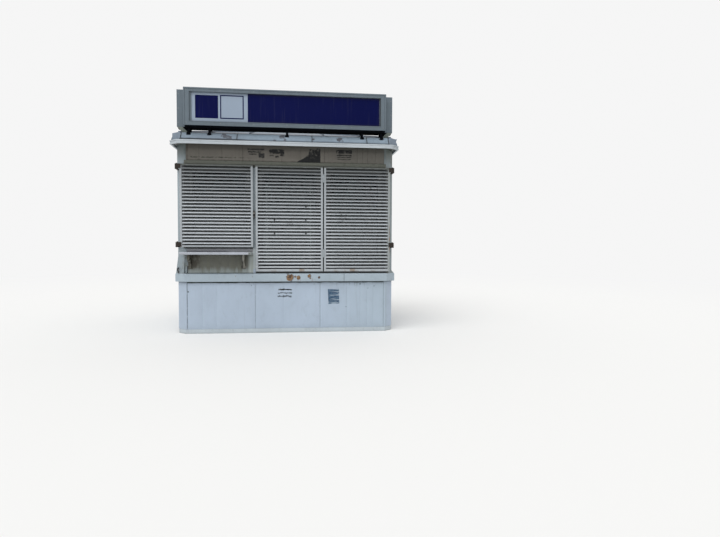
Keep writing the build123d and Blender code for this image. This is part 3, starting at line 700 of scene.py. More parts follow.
FINISHES = {
    BASE: ("base_end_rails",),
    BEARER: ("base_bearers",),
    WALL: ("front_lower_wall", "left_wall", "right_wall", "corner_posts", "rear_wall_left",
           "rear_wall_right", "rear_wall_over_door"),
    UPPER: ("front_posts", "corner_flares"),
    FRIEZE: ("front_frieze",),
    APRON: ("front_apron_panel",),
    RAIL: ("head_rail",),
    BAND: ("waist_band_front", "waist_band_sides", "waist_band_rear"),
    SHUTTER: ("left_shutter_frame", "middle_shutter_frame", "right_shutter_frame"),
    HINGE: ("fold_hinges",),
    BLADE: ("left_shutter_louvres", "middle_shutter_louvres", "right_shutter_louvres"),
    SHELF: ("serving_shelf",),
    BRACKET: ("shelf_brackets",),
    FASCIA: ("fascia_front", "fascia_rear", "fascia_sides"),
    SOFFIT: ("ceiling",),
    FLASHING: ("roof_flashing", "roof_curb"),
    CAP: ("roof_corner_caps",),
    ROOFING: ("roof_sheet",),
    FRAME: ("sign_frame", "sign_housing"),
    WHITE: ("sign_panel_white",),
    NAVY: ("sign_panel_navy",),
    BLACK: ("sign_underside", "sign_legs", "sign_gussets"),
    STRUT: ("sign_struts",),
    STEEL: ("rear_door_fittings",),
    RUSTY: ("left_hinge_lugs", "left_hinge_knuckles", "right_hinges"),
    RUSTY_DARK: ("left_shutter_lock",),
    SASH: ("serving_window_frame", "middle_window_frame", "right_window_frame"),
    DOOR: ("rear_door", "rear_door_frame"),
    GLASS: ("window_glass",),
    FLOORING: ("floor",),
}
# Edge radius of some pieces; the others take the plain radius, and the sharp pieces are not rounded
EDGE_RADIUS = {
    "waist_band_front": 0.003, "waist_band_sides": 0.003, "waist_band_rear": 0.003, "serving_shelf": 0.004,
    "sign_housing": 0.002, "shelf_brackets": 0.002, "left_shutter_lock": 0.002, "head_rail": 0.002,
}
PLAIN_EDGE_RADIUS = 0.0009
SHARP_NODES = ("rear_door_fittings", "floor", "ceiling", "window_glass", "sign_panel_white",
               "sign_panel_navy", "roof_curb", "sign_underside")

for finish, names in FINISHES.items():
    for name in names:
        for material_slot in nodes[name].material_slots:
            material_slot.material = finish
unfinished = set(nodes) - {name for names in FINISHES.values() for name in names}
assert not unfinished, unfinished


def soften(node, radius):
    """Rounds a node's edges a little, as bent sheet and old paint are."""
    weld = node.modifiers.new("weld", "WELD")
    weld.merge_threshold = 0.00002
    bevel = node.modifiers.new("edges", "BEVEL")
    bevel.width = radius
    bevel.segments = 2
    bevel.limit_method = "ANGLE"
    bevel.angle_limit = radians(40)
    bevel.harden_normals = False


for name, node in nodes.items():
    if name not in SHARP_NODES:
        soften(node, EDGE_RADIUS.get(name, PLAIN_EDGE_RADIUS))


def wall_place(azimuth, proud=0.0):
    """The placement of one wall's outer face: X to the right as seen from outside, -Y outwards, Z up."""
    reach = half_depth if azimuth % 180 == 0 else half_width
    return Matrix.Rotation(radians(azimuth), 4, "Z") @ Matrix.Translation((0, -reach - proud, 0))


def at_depth(y):
    """The placement of an upright plane that faces the front."""
    return Matrix.Translation((0, y, 0))


def grid_lines(low, high, spacing, stops=()):
    """Places from low to high that hold every stop, none further apart than the spacing."""
    marks = sorted({low, high, *stops})
    lines = [low]
    for start, end in zip(marks, marks[1:]):
        count = max(1, ceil((end - start) / spacing))
        lines += [start + (end - start) * (i + 1) / count for i in range(count - 1)] + [end]
    return lines


def strip(x0, x1, z0, z1):
    """The outline of an upright oblong."""
    return [(x0, z0), (x1, z0), (x1, z1), (x0, z1)]


def circle(radius, sides):
    turns = [2 * pi * i / sides for i in range(sides)]
    return [(radius * cos(turn), radius * sin(turn)) for turn in turns]


def ring_pairs(loop):
    """Each item of a closed loop with the next one."""
    return list(zip(loop, loop[1:] + loop[:1]))


class Shape:
    """A mesh in the making."""

    def __init__(self):
        self.bm = bmesh.new()

    def points(self, places):
        return [self.bm.verts.new(place) for place in places]

    def skin(self, first, second):
        """Faces between two rows of pairs of points."""
        return [self.bm.faces.new((a, b, d, c)) for (a, b), (c, d) in zip(first, second)]

    def sheet(self, x0, x1, z0, z1, grooves=(), thickness=SHEET, wave=WAVE, seed=0.0):
        """One thin sheet with its back on the wall: a folded rim, pressed grooves and a slight wave."""
        folds = [g for g in grooves if x0 + 4 * GROOVE_HALF < g < x1 - 4 * GROOVE_HALF]
        stops = [g + shift for g in folds for shift in (-GROOVE_HALF, 0, GROOVE_HALF)]
        xs = grid_lines(x0, x1, CELL, [x0 + RIM, x1 - RIM, *stops])
        zs = grid_lines(z0, z1, CELL, [z0 + RIM, z1 - RIM])

        def stand(x, z):
            if x in (x0, x1) or z in (z0, z1):
                return thickness * 0.55
            inside = min(x - x0, x1 - x, z - z0, z1 - z)
            swell = (1 + noise.noise(Vector((x * 3.1, seed, z * 3.1)))) / 2 * wave * min(1, inside / 0.09)
            return thickness + swell - (GROOVE_DEPTH if x in folds else 0)

        rows = [self.points([(x, -stand(x, z), z) for x in xs]) for z in zs]
        for lower, upper in zip(rows, rows[1:]):
            self.skin(zip(lower, lower[1:]), zip(upper, upper[1:]))
        rim = rows[0] + [row[-1] for row in rows[1:]] + rows[-1][-2::-1] + [row[0] for row in rows[-2:0:-1]]
        back = self.points([(v.co.x, 0, v.co.z) for v in rim])
        self.skin(ring_pairs(rim), ring_pairs(back))
        self.bm.faces.new(back[::-1])

    def dome(self, x, z, stand, head):
        """A low domed head on a wall: a rivet, or a screw."""
        radius, height = head
        base = self.points([(x + a, -stand, z + b) for a, b in circle(radius, 10)])
        crown = self.points([(x + a, -stand - height * 0.8, z + b) for a, b in circle(0.62 * radius, 10)])
        tip = self.bm.verts.new((x, -stand - height, z))
        self.skin(ring_pairs(base), ring_pairs(crown))
        for a, b in ring_pairs(crown):
            self.bm.faces.new((a, b, tip))
        self.bm.faces.new(base[::-1])

    def domes(self, xs, zs, stand, head):
        for x in xs:
            for z in zs:
                self.dome(x, z, stand, head)

    def plate(self, outline, rise, radius=0.0, segments=1):
        """A flat outline of points in space, thickened along a vector, with eased edges."""
        foot = self.points(outline)
        head = self.points([Vector(p) + Vector(rise) for p in outline])
        faces = [self.bm.faces.new(foot[::-1]), self.bm.faces.new(head)]
        faces += self.skin(ring_pairs(foot), ring_pairs(head))
        if radius:
            edges = list({e for f in faces for e in f.edges})
            bmesh.ops.bevel(self.bm, geom=edges, offset=radius, segments=segments, affect="EDGES")

    def block(self, low, high, radius=0.0):
        """A block between two corners with rounded edges."""
        outline = [(x, y, low[2]) for x, y in strip(low[0], high[0], low[1], high[1])]
        self.plate(outline, (0, 0, high[2] - low[2]), radius, 2)

    def ring(self, x0, x1, z0, z1, width, y0, y1, radius=0.0, gap=0.0006):
        """Four bars with mitred corners round an upright opening."""
        outer = [Vector((x, y0, z)) for x, z in strip(x0, x1, z0, z1)]
        inner = [Vector((x, y0, z)) for x, z in strip(x0 + width, x1 - width, z0 + width, z1 - width)]
        for (a, b), (c, d) in zip(ring_pairs(outer), ring_pairs(inner)):
            inset = (b - a).normalized() * gap
            self.plate([a + inset, b - inset, d - inset, c + inset], (0, y1 - y0, 0), radius)

    def rod(self, places, radius, sides=8):
        """A round bar along a few points."""
        places = [Vector(p) for p in places]
        rings = []
        for before, place, after in zip(places[:1] + places, places, places[1:] + places[-1:]):
            turn = (after - before).to_track_quat("Z", "Y")
            rings.append(self.points([place + turn @ Vector((*p, 0)) for p in circle(radius, sides)]))
        for first, second in zip(rings, rings[1:]):
            self.skin(ring_pairs(first), ring_pairs(second))
        self.bm.faces.new(rings[0][::-1])
        self.bm.faces.new(rings[-1])

    def pin(self, x, z, y0, y1, radius, sides):
        """A short round bar along Y."""
        self.rod([(x, y0, z), (x, y1, z)], radius, sides)

    def scrap(self, outline, ragged, seed, stand=WALL_FACE):
        """Paper stuck to a wall: an outline of X and Z with torn edges, just proud of the sheet."""
        torn = []
        for (x0, z0), (x1, z1) in ring_pairs(outline):
            count = max(2, ceil(Vector((x1 - x0, z1 - z0)).length / 0.007))
            for k in range(count):
                x, z = x0 + (x1 - x0) * k / count, z0 + (z1 - z0) * k / count
                shift = noise.noise_vector(Vector((x * 55, seed, z * 55))) * ragged
                torn.append((x + shift.x, 0, z + shift.z))
        self.plate(torn, (0, -stand, 0))


@contextmanager
def piece(name, material, place=Matrix.Identity(4), body="kiosk"):
    """Gives a shape to build in a with block, and then makes it a piece that rides on a body of the kiosk."""
    shape = Shape()
    yield shape
    bmesh.ops.transform(shape.bm, matrix=place, verts=shape.bm.verts)
    bmesh.ops.recalc_face_normals(shape.bm, faces=shape.bm.faces)
    mesh = bpy.data.meshes.new(name)
    shape.bm.to_mesh(mesh)
    shape.bm.free()
    mesh.materials.append(material)
    mesh.shade_smooth()
    mesh.set_sharp_from_angle(angle=radians(35))
    made = bpy.data.objects.new(name, mesh)
    scene.collection.objects.link(made)
    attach(made, body)


def clad(name, azimuth, x0, x1, z0, z1, seams, grooves, material, rivets=0.0):
    """One wall zone covered with sheets that meet at seams, with rivets beside each seam."""
    edges = [x0, *seams, x1]
    place = wall_place(azimuth)
    with piece(name, material, place) as shape:
        for i, (left, right) in enumerate(zip(edges, edges[1:])):
            shape.sheet(left + SEAM / 2, right - SEAM / 2, z0, z1, grooves, seed=azimuth + i * 3.7)
    if rivets:
        count = max(2, round((z1 - z0) / rivets))
        columns = [edge + side * 0.013 for edge in edges for side in (-1, 1)]
        with piece(f"{name}_rivets", material, place) as shape:
            for x in columns:
                if x0 < x < x1:
                    for i in range(count):
                        z = z0 + (z1 - z0) * (i + 0.5) / count + random.uniform(-0.006, 0.006)
                        shape.dome(x, z, SHEET, RIVET)


# Walls: sheets below the waist band, with a dark joint under it, and above it
sheet_foot = base_top + SEAM
sheet_head = band_low - BAND_JOINT
door_side = door_frame.x + 0.002
plain_grooves = [(i - 7) * BOARD + BOARD / 2 for i in range(15)]
clad("front_lower_sheets", 0, -cover_x, cover_x, sheet_foot, sheet_head, LOWER_SEAMS, LOWER_GROOVES, WALL,
     0.18)
for side, azimuth, x0, x1, seams in (
        ("right", 90, -side_cover, side_cover, SIDE_SEAMS),
        ("left", 270, -side_cover, side_cover, SIDE_SEAMS),
        ("rear_right", 180, -cover_x, -door_side, ()),
        ("rear_left", 180, door_side, cover_x, ())):
    clad(f"{side}_lower_sheets", azimuth, x0, x1, sheet_foot, sheet_head, seams, plain_grooves, WALL, 0.18)
    clad(f"{side}_upper_sheets", azimuth, x0, x1, band_high, wall_top, seams, plain_grooves, UPPER, 0.25)
clad("rear_head_sheets", 180, -door_side, door_side, door_frame.z, wall_top, (), plain_grooves, UPPER)

# Frieze, and the panel under the serving shelf
clad("frieze_sheets", 0, -cover_x, cover_x, rail_high, wall_top, FRIEZE_SEAMS, FRIEZE_GROOVES, FRIEZE, 0.12)
clad("apron_sheet", 0, APRON_SEAM + SEAM, left_high.x, band_high, shelf_low, (), APRON_GROOVES, APRON)
clad("apron_edge_sheet", 0, -cover_x, APRON_SEAM, band_high, shelf_low, (), (), UPPER)
clad("sill_strip_sheet", 0, -cover_x, left_high.x, shelf_high, left_low.z + 0.010, (), (), SILL)


def corner_cover(name, z0, z1, material):
    """Folded sheet over each cut corner, lapping onto the walls beside it, with rivets down both laps."""
    reach = SHEET * 1.5
    lean = reach * (2 ** 0.5 - 1)
    folds = [(flat_edge + lean, -half_depth - reach), (half_width + reach, -side_edge - lean)]
    section = [(cover_x, -half_depth - reach), *folds, (half_width + reach, -side_cover),
               (half_width, -side_cover), (half_width, -side_edge), (flat_edge, -half_depth),
               (cover_x, -half_depth)]
    # A negative y_sign mirrors the section to the rear wall, so these names have front and rear swapped
    for x_sign, y_sign in ((-1, -1), (-1, 1), (1, -1), (1, 1)):
        end = ("front" if y_sign < 0 else "rear") + ("_left" if x_sign < 0 else "_right")
        with piece(f"{name}_{end}", material) as shape:
            shape.plate([(x * x_sign, y * y_sign, z0) for x, y in section], (0, 0, z1 - z0))
            creases = [Vector((x * x_sign, y * y_sign)) for x, y in folds]
            upright = [e for e in shape.bm.edges if abs(e.verts[0].co.z - e.verts[1].co.z) > 0.01]
            bent = [e for e in upright if min((e.verts[0].co.xy - p).length for p in creases) < 1e-5]
            bmesh.ops.bevel(shape.bm, geom=bent, offset=FOLD, segments=3, affect="EDGES")
    for azimuth, lap in ((0, cover_x), (90, side_cover), (180, cover_x), (270, side_cover)):
        column = lap + COVER_LIP * 0.45
        with piece(f"{name}_rivets_{azimuth}", material, wall_place(azimuth)) as shape:
            shape.domes((-column, column), grid_lines(z0 + 0.04, z1 - 0.04, 0.16), reach, RIVET)


corner_cover("lower_corner_cover", sheet_foot, sheet_head, WALL)
corner_cover("upper_corner_cover", band_high, wall_top, UPPER)


def band_length(shape, x0, x1, seed):
    """One thin length of the waist band's face."""
    shape.sheet(x0, x1, band_low + 0.002, band_high - BAND_SHOULDER, (), BAND_SHEET, 0.0008, seed)


# Waist band: lapped lengths on its faces, and screws
for azimuth, half, lap in ((0, cover_x, BAND_LAP), (90, side_cover, 0.2), (270, side_cover, -0.2)):
    with piece(f"waist_band_face_{azimuth}", BAND, wall_place(azimuth, band_out)) as shape:
        band_length(shape, -half, lap - BAND_GAP, azimuth)
        band_length(shape, lap, half - BAND_GAP, azimuth + 5.1)
    with piece(f"waist_band_screws_{azimuth}", BAND, wall_place(azimuth, band_out)) as shape:
        for x in grid_lines(-half + 0.05, half - 0.05, 0.45):
            shape.dome(x + random.uniform(-0.01, 0.01), band_high - 0.026, BAND_SHEET, BAND_SCREW)
with piece("waist_band_face_180", BAND, wall_place(180, band_out)) as shape:
    band_length(shape, -cover_x, -door_side - 0.03, 8)
    band_length(shape, door_side + 0.03, cover_x, 10)

# Old black seal in the joint under the waist band, which also stands in for the band's shadow
for azimuth, half in ((0, cover_x), (90, side_cover), (270, side_cover)):
    with piece(f"band_seal_and_shadow_{azimuth}", SEAL, wall_place(azimuth)) as shape:
        foot = [(x, band_low - 0.015 * (1 + 0.35 * noise.noise(Vector((x * 14, azimuth, 0.5)))))
                for x in grid_lines(-half, half, 0.02)]
        top = band_low + 0.001
        for (x0, z0), (x1, z1) in zip(foot, foot[1:]):
            shape.plate([(x0, 0, z0), (x1, 0, z1), (x1, 0, top), (x0, 0, top)], (0, -SHEET - 0.002, 0))
        bmesh.ops.remove_doubles(shape.bm, verts=shape.bm.verts, dist=0.00005)

# Dark bead where the wall over the band meets its top
with piece("band_top_bead", SEAL) as shape:
    bead = [(x, -half_depth - SHEET, band_high + 0.002 + 0.001 * noise.noise(Vector((x * 20, 0, 0.5))))
            for x in grid_lines(-flat_edge, left_high.x, 0.04)]
    shape.rod(bead, 0.0042, 6)

# Torn remnants of paper on the frieze and the lower wall, without any print
SCRAPS = (
    ("left_remnants", GREY_PAPER, 0.006, 0, (
        strip(-0.460, -0.266, 2.147, 2.166), strip(-0.452, -0.300, 2.119, 2.134),
        strip(-0.440, -0.352, 2.094, 2.106), strip(-0.330, -0.266, 2.062, 2.114))),
    ("middle_remnants", DARK_PAPER, 0.007, 7, (
        strip(-0.208, -0.036, 2.112, 2.164), strip(-0.202, -0.160, 2.080, 2.098),
        strip(-0.138, -0.100, 2.066, 2.090), strip(-0.078, -0.040, 2.086, 2.108))),
    ("dark_poster", POSTER, 0.005, 14, ([
        (0.095, 1.997), (0.391, 1.997), (0.391, 2.186), (0.352, 2.186), (0.340, 2.168), (0.262, 2.172),
        (0.250, 2.105), (0.185, 2.060), (0.112, 2.022)],)),
    ("right_remnants", DARK_PAPER, 0.006, 21, (
        strip(0.578, 0.768, 2.132, 2.174), strip(0.584, 0.762, 2.104, 2.118))),
    ("right_pale_remnants", GREY_PAPER, 0.005, 28, (
        strip(0.588, 0.760, 2.084, 2.093), strip(0.592, 0.752, 2.060, 2.068))),
    ("blue_flyer", BLUE_PAPER, 0.003, 3, ([(0.490, 0.334), (0.620, 0.340), (0.614, 0.514), (0.482, 0.512)],)),
    ("dark_glue_streak", DARK_PAPER, 0.009, 46, (strip(-0.104, 0.052, 0.505, 0.519),)),
    ("glue_streaks", STREAK_PAPER, 0.009, 42, (
        strip(-0.114, 0.050, 0.466, 0.478), strip(-0.116, 0.046, 0.423, 0.441))),
)
for name, material, ragged, seed, outlines in SCRAPS:
    with piece(name, material, wall_place(0)) as shape:
        for k, outline in enumerate(outlines):
            shape.scrap(outline, ragged, seed + k * 2.3)

# Sign: mitred lips on the frame, end channel and bead, navy films and screws
sign_low, sign_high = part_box("sign_frame")
sign_back = high_of("sign_housing").y
sign_step = low_of("sign_struts").y
sign_wing = high_of("sign_housing").x
panel_low, panel_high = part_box("sign_panel_white")
with piece("sign_frame_lips", FRAME) as shape:
    shape.ring(sign_low.x, sign_high.x, sign_low.z, sign_high.z, OUTER_LIP, sign_low.y,
               sign_low.y - LIP_RISE, 0.0012)
    shape.ring(panel_low.x - INNER_LIP, panel_high.x + INNER_LIP, panel_low.z - INNER_LIP,
               panel_high.z + INNER_LIP, INNER_LIP, sign_low.y, sign_low.y - LIP_RISE * 0.6, 0.001)
with piece("sign_end_channel", FRAME) as shape:
    shape.block((panel_low.x, panel_low.y - 0.012, panel_low.z),
                (panel_low.x + 0.019, panel_low.y, panel_high.z), 0.0015)
with piece("sign_end_bead", SEALANT) as shape:
    shape.block((panel_high.x - 0.010, panel_high.y - 0.016, panel_low.z),
                (panel_high.x, panel_high.y - 0.001, panel_high.z), 0.0012)
with piece("sign_navy_films", NAVY) as shape:
    x0, x1, z0, z1 = NAVY_FILM
    shape.block((x0, panel_low.y - FILM, z0), (x1, panel_low.y, z1))
    shape.ring(*SQUARE_OUTLINE, 0.012, panel_low.y, panel_low.y - FILM, gap=0)
with piece("sign_frame_screws", STEEL, at_depth(sign_low.y)) as shape:
    levels = (sign_low.z + 0.029, sign_high.z - 0.029)
    shape.domes(grid_lines(sign_low.x + 0.03, sign_high.x - 0.03, 0.42), levels, 0, SIGN_SCREW)
with piece("sign_wing_screws", STEEL, at_depth(sign_step)) as shape:
    levels = (sign_low.z + 0.05, (sign_low.z + sign_high.z) / 2, sign_high.z - 0.05)
    shape.domes((0.018 - sign_wing, sign_wing - 0.018), levels, 0, SIGN_SCREW)

# Shoes that spread the front legs' load on the flashing
with piece("sign_leg_shoes", BLACK) as shape:
    for leg in SIGN_LEGS:
        outline = [(leg + x, -1.136, z) for x, z in SHOE]
        shape.plate(outline, (0, 0.040, 0), 0.001)

# Sign housing: back sheets with joints and screws, and a folded cover strip along the top
sign_rear = Matrix.Rotation(pi, 4, "Z") @ at_depth(-sign_back)
third = sign_wing / 3
with piece("sign_back_sheets", FRAME, sign_rear) as shape:
    for i, middle in enumerate((-2 * third, 0, 2 * third)):
        shape.sheet(middle - third + 0.0015, middle + third - 0.0015, sign_low.z + 0.004, sign_high.z - 0.016,
                    thickness=BACK_SHEET, wave=BACK_SHEET, seed=70 + i)
with piece("sign_back_screws", STEEL, sign_rear) as shape:
    columns = grid_lines(-sign_wing + 0.03, sign_wing - 0.03, 0.3, (-third - 0.02, third + 0.02))
    shape.domes(columns, (sign_low.z + 0.03, sign_high.z - 0.045), BACK_SHEET, BACK_SCREW)
with piece("sign_top_fold", FRAME) as shape:
    shape.block((-sign_wing - 0.002, sign_back - 0.05, sign_high.z - 0.014),
                (sign_wing + 0.002, sign_back + 0.003, sign_high.z - 0.0002), 0.001)

# Flashing: lap strips, sealant, the line along its foot, and a bent tab on the right cap
slope = Vector((0, roof_low.y - foot_front, flashing_top - roof_base))
outwards = Vector((0, -slope.z, slope.y)).normalized()


def on_flashing(x, share, stand):
    """A place on the front flashing: a share of its height up, and so far proud of it."""
    return Vector((x, foot_front, roof_base)) + slope * share + outwards * stand


with piece("flashing_laps", FLASHING) as shape:
    for x in LAP_SEAMS:
        for width, rise in ((-0.011, 0.0022), (0.007, 0.0034)):
            outline = [on_flashing(x + a, share, 0.0004) for a, share in strip(0, width, 0.02, 0.97)]
            shape.plate(outline, outwards * rise, 0.0006)
with piece("flashing_sealant", SEALANT) as shape:
    for x in LAP_SEAMS:
        bead = [on_flashing(x + 0.0002 * i, share, 0.001) for i, share in enumerate((0.03, 0.3, 0.6, 0.95))]
        shape.rod(bead, 0.0055)
    for x in (-CAP_SEAM, CAP_SEAM):
        shape.rod([on_flashing(x, share, 0.0006) for share in (0.04, 0.5, 0.94)], 0.0042)
with piece("flashing_foot_bead", SEALANT) as shape:
    bead = [(x, foot_front - 0.0005, roof_base + 0.0022 + 0.0006 * noise.noise(Vector((x * 9, 1, 1))))
            for x in grid_lines(-1.178, 1.178, 0.05)]
    shape.rod(bead, 0.0032, 6)
with piece("cap_bent_tab", CAP) as shape:
    foot = Vector((1.278, -1.088, high_of("roof_corner_caps").z))
    tab = ((0, -0.012), (0.014, -0.012), (0.020, 0.014), (0.012, 0.004))
    shape.plate([foot + Vector((a, a, up)) for a, up in tab], Vector((1, -1, 0)) * 0.0016, 0.0004)

# Roof sheet: standing seams up each slope, and rolls along the hips and the ridge
run = (roof_high.y - roof_low.y) / 2
middle_y = (roof_high.y + roof_low.y) / 2
ridge_x = roof_high.x - run


def on_roof(x, y):
    """The roof's surface at a place in plan, with Y from the ridge."""
    inside = min(roof_high.x - abs(x), run - abs(y))
    return Vector((x, middle_y + y, flashing_top + inside * (roof_high.z - flashing_top) / run))


def standing_seam(shape, foot, head, across):
    foot, head = on_roof(*foot) - across / 2, on_roof(*head) - across / 2
    low, high = Vector((0, 0, -0.004)), Vector((0, 0, 0.016))
    shape.plate([foot + low, head + low, head + high, foot + high], across, 0.001)


with piece("roof_seams", ROOFING) as shape:
    for side in (-1, 1):
        for x in [RIB_PITCH * i for i in range(-2, 3)]:
            top = max(0, abs(x) - ridge_x) + 0.02
            standing_seam(shape, (x, side * (run - 0.01)), (x, side * top), Vector((0.005, 0, 0)))
        for y in (-RIB_PITCH, 0, RIB_PITCH):
            top = ridge_x + abs(y) + 0.02
            standing_seam(shape, (side * (roof_high.x - 0.01), y), (side * top, y), Vector((0, 0.005, 0)))
with piece("roof_rolls", ROOFING) as shape:
    shape.rod([on_roof(-ridge_x, 0), on_roof(ridge_x, 0)], HIP_ROLL, 12)
    for x_sign, y_sign in ((-1, -1), (-1, 1), (1, -1), (1, 1)):
        corner = on_roof(x_sign * (roof_high.x - 0.06), y_sign * (run - 0.06))
        shape.rod([corner, on_roof(x_sign * ridge_x, 0)], HIP_ROLL, 12)

# Shutters: bolts through the blades, welds at the corners, screws in the hinges and the lock's plug
feet = sorted({round(v.co.z, 4) for v in nodes["middle_shutter_louvres"].data.vertices})[::3]
with piece("middle_shutter_bolts", RUSTY_DARK, at_depth(middle_low.y + 0.0055)) as shape:
    for x, level in SHUTTER_BOLTS:
        z = min(feet, key=lambda foot: abs(foot + 0.012 - level)) + 0.011
        shape.pin(x, z, 0.006, -0.0035, 0.010, 20)
        shape.pin(x, z, -0.0035, -0.0085, 0.0065, 6)
for name, low, high, body in (("left", left_low, left_high, "left_shutter"),
                              ("middle", middle_low, middle_high, "kiosk"),
                              ("right", right_low, right_high, "kiosk")):
    with piece(f"{name}_shutter_welds", SHUTTER, body=body) as shape:
        for lean, x in ((0.0006, low.x + STILE), (-0.0006, high.x - STILE)):
            for z in (low.z + 0.006, high.z - 0.006):
                shape.rod([(x + lean * k, low.y - 0.0002, z + 0.0035 * (k - 2)) for k in range(5)], 0.0014, 6)
with piece("fold_hinge_screws", SHUTTER, at_depth(middle_low.y - 0.003)) as shape:
    low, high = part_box("fold_hinges")
    levels = [level + shift for level in (low.z + 0.0475, high.z - 0.0475) for shift in (-0.032, 0, 0.032)]
    shape.domes((low.x + 0.007, high.x - 0.007), levels, 0, HINGE_SCREW)
with piece("lock_plug", STEEL, body="left_shutter") as shape:
    low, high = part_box("left_shutter_lock")
    x, y, z = (low.x + high.x) / 2, low.y, (low.z + high.z) / 2 + 0.012
    shape.pin(x, z, y + 0.001, y - 0.0035, 0.0075, 16)
    shape.block((x - 0.0012, y - 0.0045, z - 0.004), (x + 0.0012, y - 0.0030, z + 0.004))
    for z in (low.z + 0.008, high.z - 0.008):
        shape.pin(x, z, y + 0.001, y - 0.0016, 0.0035, 12)

# Serving shelf: screws along its edges, its brackets' feet, a hook on the left corner and a sealed seam
with piece("shelf_screws", RUSTY_DARK) as shape:
    for x in grid_lines(-1.12, shelf_right - 0.05, 0.24):
        for y in (-half_depth - 0.030, shelf_front + 0.030):
            shape.rod([(x, y, shelf_high - 0.001), (x, y, shelf_high + 0.0012)], 0.0045, 12)
with piece("bracket_feet", BRACKET) as shape:
    for x0 in (bracket_low.x, bracket_high.x - BRACKET_WIDTH):
        x1, y, z = x0 + BRACKET_WIDTH, -half_depth - WALL_FACE, bracket_low.z
        shape.block((x0 - 0.016, y - 0.003, z - 0.004), (x1 + 0.016, -half_depth, z + 0.030), 0.001)
        for x in (x0 - 0.009, x1 + 0.009):
            shape.pin(x, z + 0.013, -half_depth, y - 0.007, 0.0055, 6)
with piece("corner_hook", RUSTY_DARK) as shape:
    shape.rod(CORNER_HOOK, 0.0075)
with piece("seam_sealant", SEALANT, wall_place(0)) as shape:
    shape.scrap(SEALED_SEAM, 0.0015, 4, WALL_FACE + 0.0008)

# Windows: glazing beads round each pane, and a pull on the serving hatch
for name in ("serving", "middle", "right"):
    low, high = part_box(f"{name}_window_frame")
    hatch = low.z + HATCH_SPLIT
    openings = [(low.z + BAR, high.z - BAR)]
    if name == "serving":
        openings = [(low.z + BAR, hatch - BAR / 2), (hatch + BAR / 2, high.z - BAR)]
        with piece("hatch_pull", STEEL) as shape:
            x, y, z = high.x - BAR / 2, low.y, low.z + 0.200
            for end in (z - 0.045, z + 0.045):
                shape.pin(x, end, y + 0.001, y - 0.004, 0.005, 12)
            shape.block((x - 0.006, y - 0.0075, z - 0.055), (x + 0.006, y - 0.0035, z + 0.055), 0.0015)
    with piece(f"{name}_window_beads", BEAD) as shape:
        for z0, z1 in openings:
            shape.ring(low.x + BAR, high.x - BAR, z0, z1, 0.010, low.y + 0.004, low.y + 0.012, 0.001)

# Rear door: pressed panels, a drip strip, a kick plate and the lock under its lever
door_x = door_high.x
panel_x = door_x - 0.085
with piece("door_panels", DOOR, wall_place(180)) as shape:
    for z0, z1 in ((door_low.z + 0.30, door_low.z + 0.93), (door_low.z + 1.05, door_high.z - 0.09)):
        rim = 0.022
        shape.ring(-panel_x, panel_x, z0, z1, rim, 0, -0.005, 0.002)
        shape.sheet(rim - panel_x, panel_x - rim, z0 + rim, z1 - rim, thickness=0.0012, seed=z0)
with piece("door_drip_strip", DOOR) as shape:
    shape.block((-door_x - 0.02, half_depth, door_frame.z - 0.012),
                (door_x + 0.02, half_depth + 0.022, door_frame.z - 0.004), 0.001)
with piece("door_kick_plate", STEEL, wall_place(180)) as shape:
    shape.sheet(0.03 - door_x, door_x - 0.03, door_low.z + 0.02, door_low.z + 0.22, (), 0.0012, 0.0006, 5)
with piece("door_lock_plug", STEEL) as shape:
    x, y, z = 0.045 - door_x, half_depth, 1.000
    shape.pin(x, z, y, y + 0.011, 0.009, 20)
    shape.block((x - 0.0012, y + 0.0105, z - 0.006), (x + 0.0012, y + 0.0118, z + 0.004))


# Floor, backdrop, light and camera
def studio_floor():
    """A plain pale floor whose far part turns into the background."""
    bm = bmesh.new()
    bmesh.ops.create_circle(bm, cap_ends=True, segments=96, radius=90)
    mesh = bpy.data.meshes.new("floor_plane")
    bm.to_mesh(mesh)
    bm.free()
    s = Shader("studio_floor")
    s.body = (0.80, 0.80, 0.79, 1)
    s.close(0.9)
    away = s.add("ShaderNodeVectorMath", "Value", {0: s.point}, operation="LENGTH")
    seen = away.step(4.0, 13.0) * s.add("ShaderNodeLightPath", "Is Camera Ray")
    glow = s.add("ShaderNodeEmission", 0, {"Color": (1, 1, 1, 1), "Strength": BACKGROUND})
    lit = Field(s, s.surface.outputs[0])
    blend = s.add("ShaderNodeMixShader", 0, {0: seen, 1: lit, 2: glow})
    s.put(s.tree.nodes["Material Output"].inputs["Surface"], blend)
    mesh.materials.append(s.material)
    floor = bpy.data.objects.new("studio_floor", mesh)
    floor.location.z = -0.0005
    scene.collection.objects.link(floor)


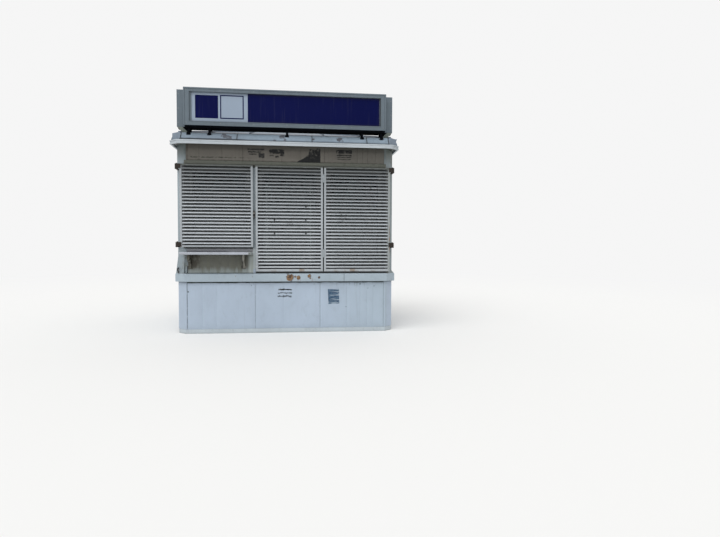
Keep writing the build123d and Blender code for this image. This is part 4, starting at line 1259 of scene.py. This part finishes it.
def studio_sky():
    """Even light from all round, stronger from above, seen by the camera as a plain pale background."""
    scene.world = bpy.data.worlds.new("studio")
    scene.world.use_nodes = True
    s = Nodes(scene.world.node_tree)
    up = s.part(s.add("ShaderNodeTexCoord", "Generated"), "Z")
    levels = {"Value": up, "To Min": HORIZON_LEVEL, "To Max": ZENITH_LEVEL}
    rise = s.add("ShaderNodeMapRange", "Result", levels)
    rays = ("Is Camera Ray", "Is Glossy Ray", "Is Transmission Ray")
    seen = reduce(or_, [s.add("ShaderNodeLightPath", ray) for ray in rays])
    background = s.tree.nodes["Background"]
    s.put(background.inputs["Color"], (1, 1, 1, 1))
    s.put(background.inputs["Strength"], s.add("ShaderNodeMix", 0, {0: seen, 2: rise, 3: BACKGROUND}))


def soft_sun():
    """A very wide sun, high in front and a little to the left."""
    light = bpy.data.lights.new("soft_sun", "SUN")
    light.energy = SUN_STRENGTH
    light.angle = SUN_SPREAD
    lamp = bpy.data.objects.new("soft_sun", light)
    towards = Vector((sin(SUN_SIDE) * cos(SUN_HEIGHT), -cos(SUN_SIDE) * cos(SUN_HEIGHT), sin(SUN_HEIGHT)))
    lamp.rotation_mode = "QUATERNION"
    lamp.rotation_quaternion = (-towards).to_track_quat("-Z", "Y")
    scene.collection.objects.link(lamp)


def photo_camera():
    """The camera at the photo's place and angle."""
    yaw = Matrix.Rotation(CAMERA_YAW, 3, "Z")
    pitch = Matrix.Rotation(CAMERA_PITCH, 3, "X")
    roll = Matrix.Rotation(CAMERA_ROLL, 3, "Z")
    level = Matrix(((1, 0, 0), (0, 0, -1), (0, 1, 0)))
    to_world = (roll @ pitch @ level @ yaw).transposed() @ Matrix.Diagonal((1, -1, -1))
    data = bpy.data.cameras.new("photo_camera")
    data.sensor_width = SENSOR
    data.lens = FOCAL_PIXELS / PHOTO_WIDTH * SENSOR
    camera = bpy.data.objects.new("photo_camera", data)
    camera.matrix_world = Matrix.Translation(CAMERA_PLACE) @ to_world.to_4x4()
    scene.collection.objects.link(camera)
    scene.camera = camera


studio_floor()
studio_sky()
soft_sun()
photo_camera()
scene.view_settings.view_transform = "Standard"
